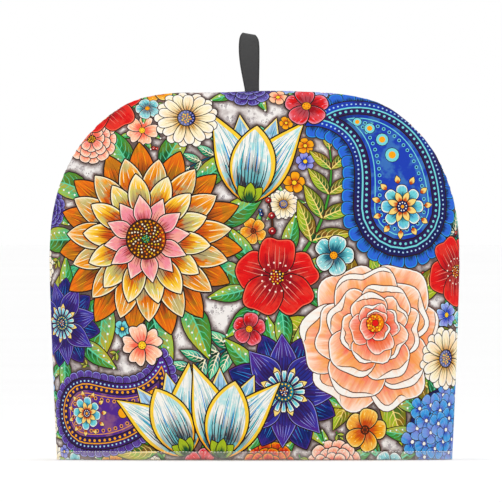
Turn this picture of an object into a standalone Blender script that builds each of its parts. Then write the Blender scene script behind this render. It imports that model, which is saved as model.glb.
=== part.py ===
"""Tea cosy: two padded cloth panels joined along an arched seam, standing open on its hem.

Each panel is one solid of its padded wall, bulging from the seam to half the depth of the mouth.
A folded loop of dark tape is caught in the seam at the top.
Metres, +Z up, the front panel faces -Y, and the origin is on the surface under the middle of the mouth.
"""

import math
from collections import namedtuple

import bmesh
import bpy
import numpy as np

ArchPoint = namedtuple("ArchPoint", "half_width height")
LoopSection = namedtuple("LoopSection", "over_arch leg_offset middle_x width roll_degrees")

# Outline of a panel, seen face on
HALF_WIDTH = 0.1510
WIDEST_HEIGHT = 0.149
HEM_TUCK = 0.0058
TUCK_POWER = 1.2
ARCH_HEIGHT = 0.270
ARCH = (
    ArchPoint(HALF_WIDTH, WIDEST_HEIGHT),
    ArchPoint(0.1503, 0.1680),
    ArchPoint(0.1475, 0.1865),
    ArchPoint(0.1415, 0.2070),
    ArchPoint(0.1305, 0.2280),
    ArchPoint(0.1143, 0.2465),
    ArchPoint(0.0910, 0.2620),
    ArchPoint(0.0620, 0.2688),
    ArchPoint(0.0300, 0.2698),
    ArchPoint(0.0000, ARCH_HEIGHT),
)
ARCH_STEPS = 12
SEAM_RIPPLE = 0.0006
SEAM_RIPPLE_TURNS = 9
SEAM_RIPPLE_PHASE = 0.6

# Depth of a panel: how far it stands out from the seam's plane
BULGE = 0.050
BULGE_POWER = 0.62
ACROSS_POWER = 2.4
UPWARD_POWER = 2.6
HEM_FLARE = 0.0015
HEM_FLARE_HEIGHT = 0.070

# Padded wall, its seam and its hem
WALL = 0.005
SEAM_ALLOWANCE = 0.007
SEAM_PINCH = 0.0012
PINCH_REACH = 0.0012
SEAM_GAP = 0.0003
HEM_STITCH_HEIGHT = 0.006
HEM_STITCH_DIP = 0.0007
HEM_STITCH_REACH = 0.003

# Columns of a panel's faces in degrees round from its middle, and its rows in metres, then in degrees up
COLUMN_ANGLES = (0, 7, 14, 21, 28, 35, 42, 49, 56, 63, 70, 76, 81, 85, 87.5, 89, 90)
ROW_HEIGHTS_NEAR_HEM = (0, 0.003, 0.006, 0.009, 0.014)
ROW_ANGLES = (15, 21, 28, 35, 42, 49, 56, 63, 69, 75, 80, 84, 87, 89, 90)

# Hanging loop of tape, from its foot in the seam to its fold
TAPE_THICKNESS = 0.0013
TAPE_ROUND = 0.00035
FOOT_DEPTH = 0.006
FOOT_CLEARANCE = 0.0003
LOOP = (
    LoopSection(-FOOT_DEPTH, 0.00085, -0.0019, 0.0106, 0),
    LoopSection(0.0000, 0.00085, -0.0019, 0.0106, 0),
    LoopSection(0.0045, 0.00110, -0.0023, 0.0113, 0),
    LoopSection(0.0110, 0.00240, -0.0029, 0.0127, 1),
    LoopSection(0.0185, 0.00410, -0.0035, 0.0142, 2),
    LoopSection(0.0260, 0.00510, -0.0039, 0.0151, 3),
    LoopSection(0.0325, 0.00500, -0.0040, 0.0152, 4),
    LoopSection(0.0375, 0.00390, -0.0040, 0.0142, 6),
    LoopSection(0.0402, 0.00210, -0.0041, 0.0118, 8),
    LoopSection(0.0411, 0.00000, -0.0041, 0.0098, 10),
)
LOOP_STEPS = 3
POCKET_OVERSHOOT = 0.010

FRONT, BACK = -1, 1
SHARP_EDGE = math.radians(40)


def remove_everything():
    """Empties the scene."""
    for thing in list(bpy.data.objects):
        bpy.data.objects.remove(thing)


def smooth_through(rows, steps):
    """Points on a smooth curve through the rows, with the given number of steps between two rows."""
    rows = np.array(rows, float)
    padded = np.vstack([2 * rows[0] - rows[1], rows, 2 * rows[-1] - rows[-2]])
    found = []
    for first in range(len(rows) - 1):
        p0, p1, p2, p3 = padded[first : first + 4]
        for step in range(steps):
            t = step / steps
            once = (p2 - p0) * t
            twice = (2 * p0 - 5 * p1 + 4 * p2 - p3) * t**2
            thrice = (3 * p1 - p0 - 3 * p2 + p3) * t**3
            found.append((2 * p1 + once + twice + thrice) / 2)
    found.append(rows[-1])
    return np.array(found)


ARCH_CURVE = smooth_through(ARCH, ARCH_STEPS)[::-1]


def half_width_at(height):
    """The outline's half width beside the straight part of the panel."""
    below = max(0.0, 1 - height / WIDEST_HEIGHT)
    return HALF_WIDTH - HEM_TUCK * below**TUCK_POWER


def arch_height(across):
    """Height of the arch at a share of the half width, from -1 to 1, with the slight ripple of its seam."""
    plain = np.interp(abs(across) * HALF_WIDTH, ARCH_CURVE[:, 0], ARCH_CURVE[:, 1])
    ripple = math.sin(SEAM_RIPPLE_TURNS * across + SEAM_RIPPLE_PHASE) * (1 - across**2)
    return float(plain) + SEAM_RIPPLE * ripple


def share_at(degrees, power):
    """Share of the way from a panel's middle to its seam, at an angle round its rounded section."""
    if degrees >= 90:
        return 1.0
    return (1 - math.cos(math.radians(degrees)) ** (1 / BULGE_POWER)) ** (1 / power)


def bulge(across, upward):
    """Depth of the panel's form, as a share of its greatest depth."""
    sideways = (1 - abs(across) ** ACROSS_POWER) ** BULGE_POWER
    up = (1 - upward**UPWARD_POWER) ** BULGE_POWER
    return sideways * up


def panel_point(across, upward, side, inner):
    """A point of a panel's outer or inner face, from its shares across and up."""
    share = bulge(across, upward)
    depth = (BULGE - WALL if inner else BULGE) * share
    inset = SEAM_ALLOWANCE if inner else SEAM_PINCH * math.exp(-depth / PINCH_REACH)
    height = upward * (arch_height(across) - inset)
    x = across * (half_width_at(height) - inset)
    if not inner:
        from_stitches = (height - HEM_STITCH_HEIGHT) / HEM_STITCH_REACH
        depth -= HEM_STITCH_DIP * share * math.exp(-(from_stitches**2))
    depth += HEM_FLARE * share * max(0.0, 1 - height / HEM_FLARE_HEIGHT) ** 2
    return (x, side * (SEAM_GAP / 2 + depth), height)


def panel_columns():
    """Shares across the panel, one for each column of its faces."""
    half = [share_at(angle, ACROSS_POWER) for angle in COLUMN_ANGLES]
    return [-share for share in reversed(half[1:])] + half


def panel_rows():
    """Shares up the panel, one for each row of its faces."""
    near_hem = [height / ARCH_HEIGHT for height in ROW_HEIGHTS_NEAR_HEM]
    return near_hem + [share_at(angle, UPWARD_POWER) for angle in ROW_ANGLES]


def panel(name, side, finish):
    """One padded panel: its outer face, its inner face, and the flat seam and hem that join them."""
    columns, rows = panel_columns(), panel_rows()
    mesh = bmesh.new()
    outer, inner = (
        [[mesh.verts.new(panel_point(across, up, side, is_inner)) for across in columns] for up in rows]
        for is_inner in (False, True)
    )
    top, right = len(rows) - 1, len(columns) - 1
    for r in range(top):
        for c in range(right):
            mesh.faces.new([outer[r][c], outer[r][c + 1], outer[r + 1][c + 1], outer[r + 1][c]])
            mesh.faces.new([inner[r][c], inner[r + 1][c], inner[r + 1][c + 1], inner[r][c + 1]])
    for c in range(right):
        mesh.faces.new([outer[0][c], inner[0][c], inner[0][c + 1], outer[0][c + 1]])
        mesh.faces.new([outer[top][c + 1], inner[top][c + 1], inner[top][c], outer[top][c]])
    for r in range(top):
        mesh.faces.new([outer[r + 1][0], inner[r + 1][0], inner[r][0], outer[r][0]])
        mesh.faces.new([outer[r][right], inner[r][right], inner[r + 1][right], outer[r + 1][right]])
    if side == BACK:
        bmesh.ops.reverse_faces(mesh, faces=mesh.faces)
    return finished(name, mesh, finish)


def loop_rows():
    """Sections of the loop from its front foot over the top to its back foot."""
    front = smooth_through(LOOP, LOOP_STEPS)
    back = front[-2::-1].copy()
    front[:, 1] *= FRONT
    back[:, 1] *= BACK
    return np.vstack([front, back])


def tape_section(width):
    """Corners of the tape's flat section with eased edges, as (across, outward) pairs."""
    half, thick = width / 2, TAPE_THICKNESS / 2
    right = (
        (0, -thick),
        (half - TAPE_ROUND, -thick),
        (half, -thick + TAPE_ROUND),
        (half, thick - TAPE_ROUND),
        (half - TAPE_ROUND, thick),
    )
    return right + tuple((-across, -outward) for across, outward in right)


def hanging_loop(name, finish):
    """The folded tape, swept up the front leg, over the fold and down the back leg."""
    rows = loop_rows()
    line = np.stack([rows[:, 1], ARCH_HEIGHT + rows[:, 0]], axis=1)
    run = np.gradient(line, axis=0)
    run /= np.linalg.norm(run, axis=1)[:, None]
    mesh = bmesh.new()
    rings = []
    for row, (y, z), (run_y, run_z) in zip(rows, line, run):
        _, _, middle, width, roll = row
        level, tip = math.cos(math.radians(roll)), -math.sin(math.radians(roll))
        ring = [
            mesh.verts.new((middle + across * level, y - outward * run_z, z + outward * run_y + across * tip))
            for across, outward in tape_section(width)
        ]
        rings.append(ring)
    for ring, following in zip(rings, rings[1:]):
        for corner in range(len(ring)):
            after = (corner + 1) % len(ring)
            mesh.faces.new([ring[corner], ring[after], following[after], following[corner]])
    mesh.faces.new(rings[0])
    mesh.faces.new(rings[-1])
    bmesh.ops.recalc_face_normals(mesh, faces=mesh.faces)
    return finished(name, mesh, finish)


def foot_pocket():
    """The space between the panels that the two feet of the loop fill, as a cutter."""
    foot = LOOP[0]
    half_depth = foot.leg_offset + TAPE_THICKNESS / 2 + FOOT_CLEARANCE
    low = ARCH_HEIGHT - FOOT_DEPTH - FOOT_CLEARANCE
    tall = FOOT_DEPTH + FOOT_CLEARANCE + POCKET_OVERSHOOT
    mesh = bmesh.new()
    bmesh.ops.create_cube(mesh, size=1)
    bmesh.ops.scale(mesh, vec=(foot.width + 2 * FOOT_CLEARANCE, 2 * half_depth, tall), verts=mesh.verts)
    bmesh.ops.translate(mesh, vec=(foot.middle_x, 0, low + tall / 2), verts=mesh.verts)
    cutter = new_object("foot_pocket", mesh)
    cutter.hide_render = True
    cutter.display_type = "WIRE"
    return cutter


def cut(piece, cutter):
    """Takes the cutter's shape out of a piece."""
    modifier = piece.modifiers.new("foot pocket", "BOOLEAN")
    modifier.operation = "DIFFERENCE"
    modifier.object = cutter


def new_object(name, mesh):
    """Turns a bmesh into an object in the scene."""
    data = bpy.data.meshes.new(name)
    mesh.to_mesh(data)
    mesh.free()
    thing = bpy.data.objects.new(name, data)
    bpy.context.scene.collection.objects.link(thing)
    return thing


def finished(name, mesh, finish):
    """A smooth-shaded object with its finish."""
    thing = new_object(name, mesh)
    thing.data.shade_smooth()
    thing.data.set_sharp_from_angle(angle=SHARP_EDGE)
    thing.data.materials.append(finish)
    return thing


def cloth_finish(name, colour, roughness):
    """A matt cloth colour."""
    finish = bpy.data.materials.new(name)
    finish.use_nodes = True
    shader = finish.node_tree.nodes["Principled BSDF"]
    shader.inputs["Base Color"].default_value = (*colour, 1)
    shader.inputs["Roughness"].default_value = roughness
    shader.inputs["Metallic"].default_value = 0.0
    return finish


def build():
    """Models the tea cosy."""
    remove_everything()
    printed_cotton = cloth_finish("printed_cotton", (0.42, 0.27, 0.20), 0.85)
    dark_tape = cloth_finish("dark_tape", (0.065, 0.065, 0.067), 0.8)
    pocket = foot_pocket()
    cut(panel("front_panel", FRONT, printed_cotton), pocket)
    cut(panel("back_panel", BACK, printed_cotton), pocket)
    hanging_loop("hanging_loop", dark_tape)


build()
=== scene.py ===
"""Looks of the tea cosy: padded panels of printed cotton, a stitched hem and a hanging loop of dark tape.

The print is drawn on the flat cloth, in millimetres, as shapes painted one over another. The shapes are cut
into one mesh of triangles, and that mesh is laid over the form of the panel.
"""

import logging
import math
import random
from dataclasses import dataclass, field
from enum import Enum
from functools import cache

import bmesh
import bpy
import numpy as np
from bpy.types import Material, Mesh, Node, NodeSocket, NodeTree, Object
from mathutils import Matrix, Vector
from mathutils.bvhtree import BVHTree
from mathutils.geometry import delaunay_2d_cdt
from mathutils.kdtree import KDTree


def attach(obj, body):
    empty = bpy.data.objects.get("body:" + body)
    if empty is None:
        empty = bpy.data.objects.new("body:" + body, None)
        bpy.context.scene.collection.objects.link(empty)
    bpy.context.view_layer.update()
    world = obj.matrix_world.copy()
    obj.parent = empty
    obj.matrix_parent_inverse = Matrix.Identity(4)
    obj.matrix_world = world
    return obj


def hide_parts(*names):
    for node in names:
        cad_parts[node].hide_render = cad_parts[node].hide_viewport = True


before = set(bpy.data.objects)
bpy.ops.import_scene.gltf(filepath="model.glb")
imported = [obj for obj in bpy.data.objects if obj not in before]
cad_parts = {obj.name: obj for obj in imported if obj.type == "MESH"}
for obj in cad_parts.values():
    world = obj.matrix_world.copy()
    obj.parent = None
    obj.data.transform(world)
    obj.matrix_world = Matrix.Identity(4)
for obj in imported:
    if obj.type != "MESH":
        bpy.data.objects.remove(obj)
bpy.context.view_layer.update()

Array = np.ndarray
MM = 0.001
FULL_TURN = 2 * math.pi
GOLDEN_ANGLE = math.pi * (3 - math.sqrt(5))
THINNEST_LINE = 0.12
PETAL_STEPS = ((10, 6), (24, 9), (math.inf, 15))
BAKE_MAP = "OFBake"
INK_NAMES = ("ink_base", "ink_tip", "ink_streak", "ink_accent", "ink_glow")
log = logging.getLogger("tea cosy")


# Colours and paint


class Dye(Enum):
    """Colours of the print, as sRGB."""

    OUTLINE = "#241511"
    UMBER = "#46312a"
    WHITE = "#f4f0e8"
    CREAM = "#f7ebc8"
    BUTTER = "#f5d97c"
    YELLOW = "#f9cc26"
    GOLD = "#f3a20c"
    ORANGE = "#ea720a"
    RUST = "#c04309"
    BROWN = "#4f240f"
    CORAL = "#ef5f45"
    SALMON = "#f4907a"
    PEACH = "#f9c297"
    BLUSH = "#fae2d2"
    PINK = "#eb8b9b"
    RED = "#e01010"
    CRIMSON = "#8c0817"
    NAVY = "#111a56"
    ROYAL = "#1a3cae"
    COBALT = "#2a5cd2"
    SKY = "#2791d8"
    PALE_BLUE = "#a6d0ee"
    LILAC = "#9294dc"
    PURPLE = "#4f2689"
    PLUM = "#29164f"
    TEAL = "#0e9cab"
    AQUA = "#72d1d6"
    PETROL = "#0b5068"
    EMERALD = "#129b67"
    MINT = "#60cd9d"
    LEAF = "#3b932a"
    LIME = "#a5b71c"
    OLIVE = "#6d7715"
    OCHRE = "#c98a1a"
    BOTTLE = "#144727"
    KHAKI = "#b4a876"
    CHARCOAL = "#282530"
    SLATE = "#636882"


(
    OUTLINE, UMBER, WHITE, CREAM, BUTTER, YELLOW, GOLD, ORANGE, RUST, BROWN, CORAL, SALMON, PEACH, BLUSH,
    PINK, RED, CRIMSON, NAVY, ROYAL, COBALT, SKY, PALE_BLUE, LILAC, PURPLE, PLUM, TEAL, AQUA, PETROL,
    EMERALD, MINT, LEAF, LIME, OLIVE, OCHRE, BOTTLE, KHAKI, CHARCOAL, SLATE,
) = Dye


@cache
def linear(hex_colour: str) -> tuple[float, float, float]:
    """The red, green and blue of an sRGB colour, such as "#a59b97", in linear light."""
    parts = [int(hex_colour[i : i + 2], 16) / 255 for i in (1, 3, 5)]
    return tuple(part / 12.92 if part <= 0.04045 else ((part + 0.055) / 1.055) ** 2.4 for part in parts)


@dataclass(frozen=True)
class Ink:
    """Paint of one shape, from its base to its tip.

    turn and soft say where the base colour turns to the tip's and over what share of the length, streaks how
    strongly brush marks of the streak colour show, wash how much of the accent colour is washed in, and edge
    how far out the glow colour takes over.
    """

    base: Dye
    tip: Dye | None = None
    streak: Dye | None = None
    accent: Dye | None = None
    turn: float = 0.5
    soft: float = 0.35
    streaks: float = 0.0
    wash: float = 0.0
    glow: Dye | None = None
    edge: float = 0.95

    def rows(self) -> tuple[float, ...]:
        """The paint as five colours in linear light, each with its own setting."""
        tip = self.tip or self.base
        dyes = self.base, tip, self.streak or self.base, self.accent or self.base, self.glow or tip
        settings = self.turn, self.soft, self.streaks, self.wash, self.edge
        return sum(((*linear(dye.value), setting) for dye, setting in zip(dyes, settings)), ())


# Shapes on the flat cloth


def placed(x: float = 0.0, y: float = 0.0, degrees: float = 0.0, size: float = 1.0) -> Array:
    """The matrix of a frame set at x and y in millimetres, turned anticlockwise and scaled."""
    c, s = math.cos(math.radians(degrees)) * size, math.sin(math.radians(degrees)) * size
    return np.array([[c, -s, x], [s, c, y], [0, 0, 1]])


def laid(where: Array, points: Array) -> Array:
    """Points of a frame, moved to the cloth."""
    return points @ where[:2, :2].T + where[:2, 2]


def unit(rows: Array) -> Array:
    """Directions, scaled to a length of 1."""
    return rows / np.maximum(np.linalg.norm(rows, axis=1), 1e-12)[:, None]


def travelled(line: Array) -> Array:
    """How far along a line each of its points lies."""
    return np.r_[0, np.cumsum(np.linalg.norm(np.diff(line, axis=0), axis=1))]


def grown(outline: Array, by: float) -> Array:
    """An anticlockwise outline, moved outwards by a width."""
    run = unit(np.roll(outline, -1, axis=0) - np.roll(outline, 1, axis=0))
    return outline + by * np.c_[run[:, 1], -run[:, 0]]


def within(outline: Array, u: Array, v: Array) -> Array:
    """Which places lie inside an outline."""
    inside = np.zeros(u.shape, bool)
    for (x0, y0), (x1, y1) in zip(outline, np.roll(outline, -1, axis=0)):
        if y0 != y1:
            inside ^= ((v < y0) != (v < y1)) & (u < x0 + (v - y0) * (x1 - x0) / (y1 - y0))
    return inside


def ribbon(spine: Array, widths: Array) -> Array:
    """The outline of a brush line.

    Args:
        spine: Points along the middle of the line.
        widths: Its width at each of them.

    Returns:
        The points round the line.
    """
    run = unit(np.gradient(spine, axis=0))
    off = np.c_[-run[:, 1], run[:, 0]] * (np.maximum(widths, THINNEST_LINE) / 2)[:, None]
    return np.vstack([spine - off, (spine + off)[::-1]])


def circle(angles: Array) -> Array:
    """Places at angles round a circle of radius 1."""
    return np.c_[np.cos(angles), np.sin(angles)]


def arc_spine(length: float, curl: float, steps: int, tighten: float = 1.0) -> Array:
    """A line that starts along the first axis and bends by curl degrees, evenly or more towards its end."""
    share = np.linspace(0, 1, steps + 1)
    angles = np.radians(curl) * ((share[:-1] + share[1:]) / 2) ** tighten
    return np.vstack([[0.0, 0.0], np.cumsum(circle(angles) * length / steps, axis=0)])


def finder(places: Array) -> KDTree:
    """A finder of the nearest of some places."""
    tree = KDTree(len(places))
    for i, place in enumerate(places.tolist()):
        tree.insert((*place, 0), i)
    tree.balance()
    return tree


def along(points: Array, spacing: float, closed: bool = True) -> tuple[Array, Array]:
    """Evenly spaced places along a line.

    Args:
        points: The line.
        spacing: About how far apart the places are.
        closed: Whether the line closes on its start.

    Returns:
        The places, and the line's angle in degrees at each.
    """
    line = np.vstack([points, points[:1]]) if closed else points
    steps, reach = np.diff(line, axis=0), travelled(line)
    count = max(2, round(reach[-1] / spacing))
    at = np.linspace(0, reach[-1], count + 1)[:-1] if closed else np.linspace(0, reach[-1], count)
    found = np.stack([np.interp(at, reach, line[:, i]) for i in (0, 1)], axis=1)
    piece = np.clip(np.searchsorted(reach, at, side="right") - 1, 0, len(steps) - 1)
    return found, np.degrees(np.arctan2(steps[piece, 1], steps[piece, 0]))


class PetalForm(Enum):
    """One side of a petal as a curve: its half width at the base, two handles and its tip."""

    ROUND = ((0.0, 0.18), (0.35, 0.72), (1.04, 0.86), (1.0, 0.0))
    POINTED = ((0.0, 0.16), (0.3, 0.8), (0.74, 0.66), (1.0, 0.0))
    FLAME = ((0.0, 0.2), (0.34, 0.98), (0.68, 0.34), (1.0, 0.0))
    HEART = ((0.0, 0.1), (0.22, 0.62), (1.34, 0.92), (0.86, 0.0))
    BROAD = ((0.0, 0.24), (0.1, 0.86), (1.06, 1.00), (0.95, 0.0))
    LANCE = ((0.0, 0.06), (0.34, 0.8), (0.62, 0.52), (1.0, 0.0))
    DROP = ((0.0, 0.03), (0.5, 0.2), (1.16, 0.95), (1.0, 0.0))

    def side(self, steps: int) -> Array:
        """The side's points from base to tip, scaled to a length of 1 and a half width of 1."""
        t = 1 - np.linspace(1, 0, steps + 1)[:, None] ** 1.4
        p0, p1, p2, p3 = (np.array(point) for point in self.value)
        curve = (1 - t) ** 3 * p0 + 3 * (1 - t) ** 2 * t * p1 + 3 * (1 - t) * t**2 * p2 + t**3 * p3
        return curve / curve.max(axis=0)


ROUND, POINTED, FLAME, HEART, BROAD, LANCE, DROP = PetalForm


@dataclass(frozen=True)
class Strokes:
    """Brush lines laid along a petal, between two shares of its length and over a share of its width."""

    dye: Dye
    count: int
    start: float = 0.0
    stop: float = 0.5
    width: float = 0.5
    spread: float = 0.75


@dataclass(frozen=True)
class PetalFinish:
    """How a petal is painted: a dark line round it, a rim, a body, brush strokes and a turned-over lip."""

    body: Ink
    rim: Ink | None = None
    rim_width: float = 0.0
    line: float = 0.6
    strokes: tuple[Strokes, ...] = ()
    line_dye: Dye = OUTLINE
    lip: Ink | None = None


@dataclass
class Artwork:
    """Shapes painted one over another on the flat cloth, in millimetres."""

    seed: int
    outlines: list[Array] = field(default_factory=list)
    inks: list[tuple[float, ...]] = field(default_factory=list)
    grains: list[tuple[float, ...]] = field(default_factory=list)

    def __post_init__(self) -> None:
        """Starts the artwork's own run of chance."""
        self.chance = random.Random(self.seed)

    def lay_over(self, other: "Artwork") -> None:
        """Adds another artwork's shapes on top."""
        self.outlines += other.outlines
        self.inks += other.inks
        self.grains += other.grains

    def near(self, value: float, spread: float) -> float:
        """A number within a share of a value."""
        return value * (1 + self.chance.uniform(-spread, spread))

    def paint(
        self,
        where: Array,
        outline: Array,
        ink: Ink,
        length: float = 1.0,
        width: float = 1.0,
        bend: float = 0.0,
    ) -> None:
        """Paints a shape.

        Args:
            where: Frame of the shape.
            outline: Its anticlockwise outline in that frame.
            ink: Its paint.
            length: How far the paint runs along the frame's first axis.
            width: How wide the paint is across it.
            bend: How far the shape leans sideways at its tip, as a share of its length.
        """
        points = laid(where, outline)
        if np.linalg.det(where[:2, :2]) < 0:
            points = points[::-1]
        self.outlines.append(points)
        self.inks.append(ink.rows())
        scale = np.diag([1 / length, 2 / width, 1])
        grain = (scale @ np.linalg.inv(where))[:2].ravel()
        self.grains.append((*grain, 2 * bend * length / width, self.chance.uniform(0, 50)))

    def disc(self, where: Array, radius: float, ink: Ink, sides: int = 8) -> None:
        """Paints a round spot about the frame's origin."""
        self.paint(where, circle(np.arange(sides) * FULL_TURN / sides) * radius, ink, radius, 2 * radius)

    def line(self, where: Array, spine: Array, widths: Array, ink: Ink) -> None:
        """Paints a brush line."""
        length = float(np.linalg.norm(np.diff(spine, axis=0), axis=1).sum())
        self.paint(where, ribbon(spine, widths), ink, length, max(float(np.max(widths)), 0.2))

    def petal(
        self,
        where: Array,
        length: float,
        width: float,
        form: PetalForm,
        finish: PetalFinish,
        bend: float = 0.0,
        ruffle: float = 0.0,
    ) -> None:
        """Paints a petal that starts at the frame's origin and points along its first axis."""
        steps = next(steps for below, steps in PETAL_STEPS if length < below)
        wave = self.chance.uniform(0, FULL_TURN)

        def outline(long: float, wide: float) -> Array:
            """The petal's outline at a length and a width."""
            side = form.side(steps) * (long, wide / 2)
            loop = np.vstack([side * (1, -1), side[-2::-1]])
            turn = np.arctan2(loop[:, 1], loop[:, 0] - 0.35 * long)
            swell = 1 + ruffle * np.sin(5 * turn + wave) * np.clip(loop[:, 0] / long, 0, 1)
            loop = loop * swell[:, None]
            loop[:, 1] += bend * long * (loop[:, 0] / long) ** 2
            return loop

        whole = outline(length, width)
        self.paint(where, grown(whole, finish.line), Ink(finish.line_dye), length, width)
        inset = finish.rim_width
        if finish.rim:
            self.paint(where, whole, finish.rim, length, width, bend)
        inner = outline(length - inset, width - 1.5 * inset)
        inner[:, 1] += self.chance.uniform(-0.5, 0.5) * inset * inner[:, 0] / length
        self.paint(where, inner, finish.body, length, width, bend)
        side = form.side(12)
        side = side[: side[:, 0].argmax() + 1]
        for strokes in finish.strokes:
            for i in range(strokes.count):
                offset = strokes.spread * (2 * (i + self.chance.uniform(0.25, 0.75)) / strokes.count - 1)
                start = strokes.start + self.chance.uniform(0, 0.08)
                stop = max(self.near(strokes.stop * (1 - 0.3 * abs(offset)), 0.12), start + 0.1)
                share = np.linspace(start, stop, 4)
                half = np.interp(share, side[:, 0], side[:, 1]) * width / 2
                spine = np.c_[share * length, offset * half + bend * length * share**2]
                self.line(where, spine, strokes.width * STROKE_TAPER, Ink(strokes.dye))
        if finish.lip and self.chance.random() < 0.75:
            self.lip(where, whole, length, finish)

    def lip(self, where: Array, whole: Array, length: float, finish: PetalFinish) -> None:
        """Paints the turned-over edge of a petal, to one side of its tip."""
        tip = len(whole) // 2
        middle = tip + self.chance.uniform(-0.4, 0.4) * tip
        reach = self.chance.uniform(0.28, 0.48) * tip
        first, last = max(1, round(middle - reach)), min(2 * tip - 1, round(middle + reach))
        edge = whole[first : last + 1]
        share = np.linspace(0, 1, len(edge))
        inwards = unit((0.4 * length, 0) - edge)
        wave = np.sin(FULL_TURN * (self.chance.uniform(0.8, 1.6) * share + self.chance.random()))
        depth = self.near(0.13, 0.3) * length * np.sin(math.pi * share) ** 0.7 * (1 + 0.22 * wave)
        for more, ink in ((finish.line, Ink(finish.line_dye)), (0.0, finish.lip)):
            inner = edge + inwards * (depth + more)[:, None]
            self.paint(where, np.vstack([edge, inner[-2:0:-1]]), ink, length, length)


@dataclass(frozen=True)
class PetalRing:
    """Petals set round a flower's middle."""

    count: int
    start: float
    length: float
    width: float
    form: PetalForm
    finish: PetalFinish
    offset: float = 0.0
    ruffle: float = 0.0
    uneven: float = 0.05

    def draw(self, art: Artwork, where: Array) -> None:
        """Paints every second petal and then those between, so that the latter lie over them."""
        step = 360 / self.count
        for i in (*range(0, self.count, 2), *range(1, self.count, 2)):
            degrees = (i + self.offset) * step + art.chance.uniform(-1, 1) * self.uneven * step
            spot = where @ placed(degrees=degrees) @ placed(x=self.start)
            length = art.near(self.length, self.uneven)
            bend = art.chance.uniform(-1, 1) * self.uneven
            width = art.near(self.width, self.uneven)
            art.petal(spot, length, width, self.form, self.finish, bend, self.ruffle)


@dataclass(frozen=True)
class Seeds:
    """Dots set in a seed head's spiral."""

    count: int
    radius: float
    dot: float
    dyes: tuple[Dye, ...]

    def draw(self, art: Artwork, where: Array) -> None:
        """Paints the dots from the middle outwards."""
        for i in range(self.count):
            reach = self.radius * math.sqrt((i + 0.5) / self.count)
            spot = where @ placed(degrees=math.degrees(i * GOLDEN_ANGLE)) @ placed(x=reach)
            size = self.dot * (0.75 + 0.4 * reach / self.radius)
            art.disc(spot, size, Ink(self.dyes[i % len(self.dyes)]), 6)


@dataclass(frozen=True)
class Spot:
    """A round patch of a flower's middle, with a dark line round it."""

    radius: float
    ink: Ink
    line: float = 0.5
    sides: int = 20

    def draw(self, art: Artwork, where: Array) -> None:
        """Paints the line and the patch."""
        if self.line:
            art.disc(where, self.radius + self.line, Ink(OUTLINE), self.sides)
        art.disc(where, self.radius, self.ink, self.sides)


@dataclass(frozen=True)
class DotRing:
    """Dots set round a circle."""

    count: int
    reach: float
    dot: float
    dye: Dye
    offset: float = 0.0

    def draw(self, art: Artwork, where: Array) -> None:
        """Paints the dots."""
        for i in range(self.count):
            spot = where @ placed(degrees=(i + self.offset) * 360 / self.count) @ placed(x=self.reach)
            art.disc(spot, self.dot, Ink(self.dye), 6)


@dataclass(frozen=True)
class Flower:
    """A flower of rings, spots and seeds, drawn from the back to the front."""

    layers: tuple[PetalRing | Seeds | Spot | DotRing, ...]

    def draw(self, art: Artwork, where: Array) -> None:
        """Paints the layers."""
        for layer in self.layers:
            layer.draw(art, where)


@dataclass(frozen=True)
class Rose:
    """A full garden rose, seen a little from below, whose rings of petals close round its heart."""

    finish: PetalFinish
    inner_finish: PetalFinish
    rings: tuple[tuple[int, float, float, float, float], ...] = (
        (6, 14.0, 40.0, 50.0, 0.00),
        (5, 9.0, 37.0, 46.0, 0.45),
        (5, 6.0, 29.0, 37.0, 0.05),
        (5, 3.0, 23.0, 29.0, 0.55),
        (4, 2.0, 16.0, 21.0, 0.15),
        (3, 0.5, 11.0, 15.0, 0.6),
    )
    rise: float = 1.7
    outer_rings: int = 4

    def draw(self, art: Artwork, where: Array) -> None:
        """Paints the rings from the widest inwards, each moved up a little, and the heart."""
        for i, (count, start, length, width, offset) in enumerate(self.rings):
            finish = self.finish if i < self.outer_rings else self.inner_finish
            ring = PetalRing(count, start, length, width, BROAD, finish, offset, 0.05, 0.08)
            ring.draw(art, where @ placed(y=i * self.rise))
        ROSE_HEART.draw(art, where @ placed(y=len(self.rings) * self.rise))


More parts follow.
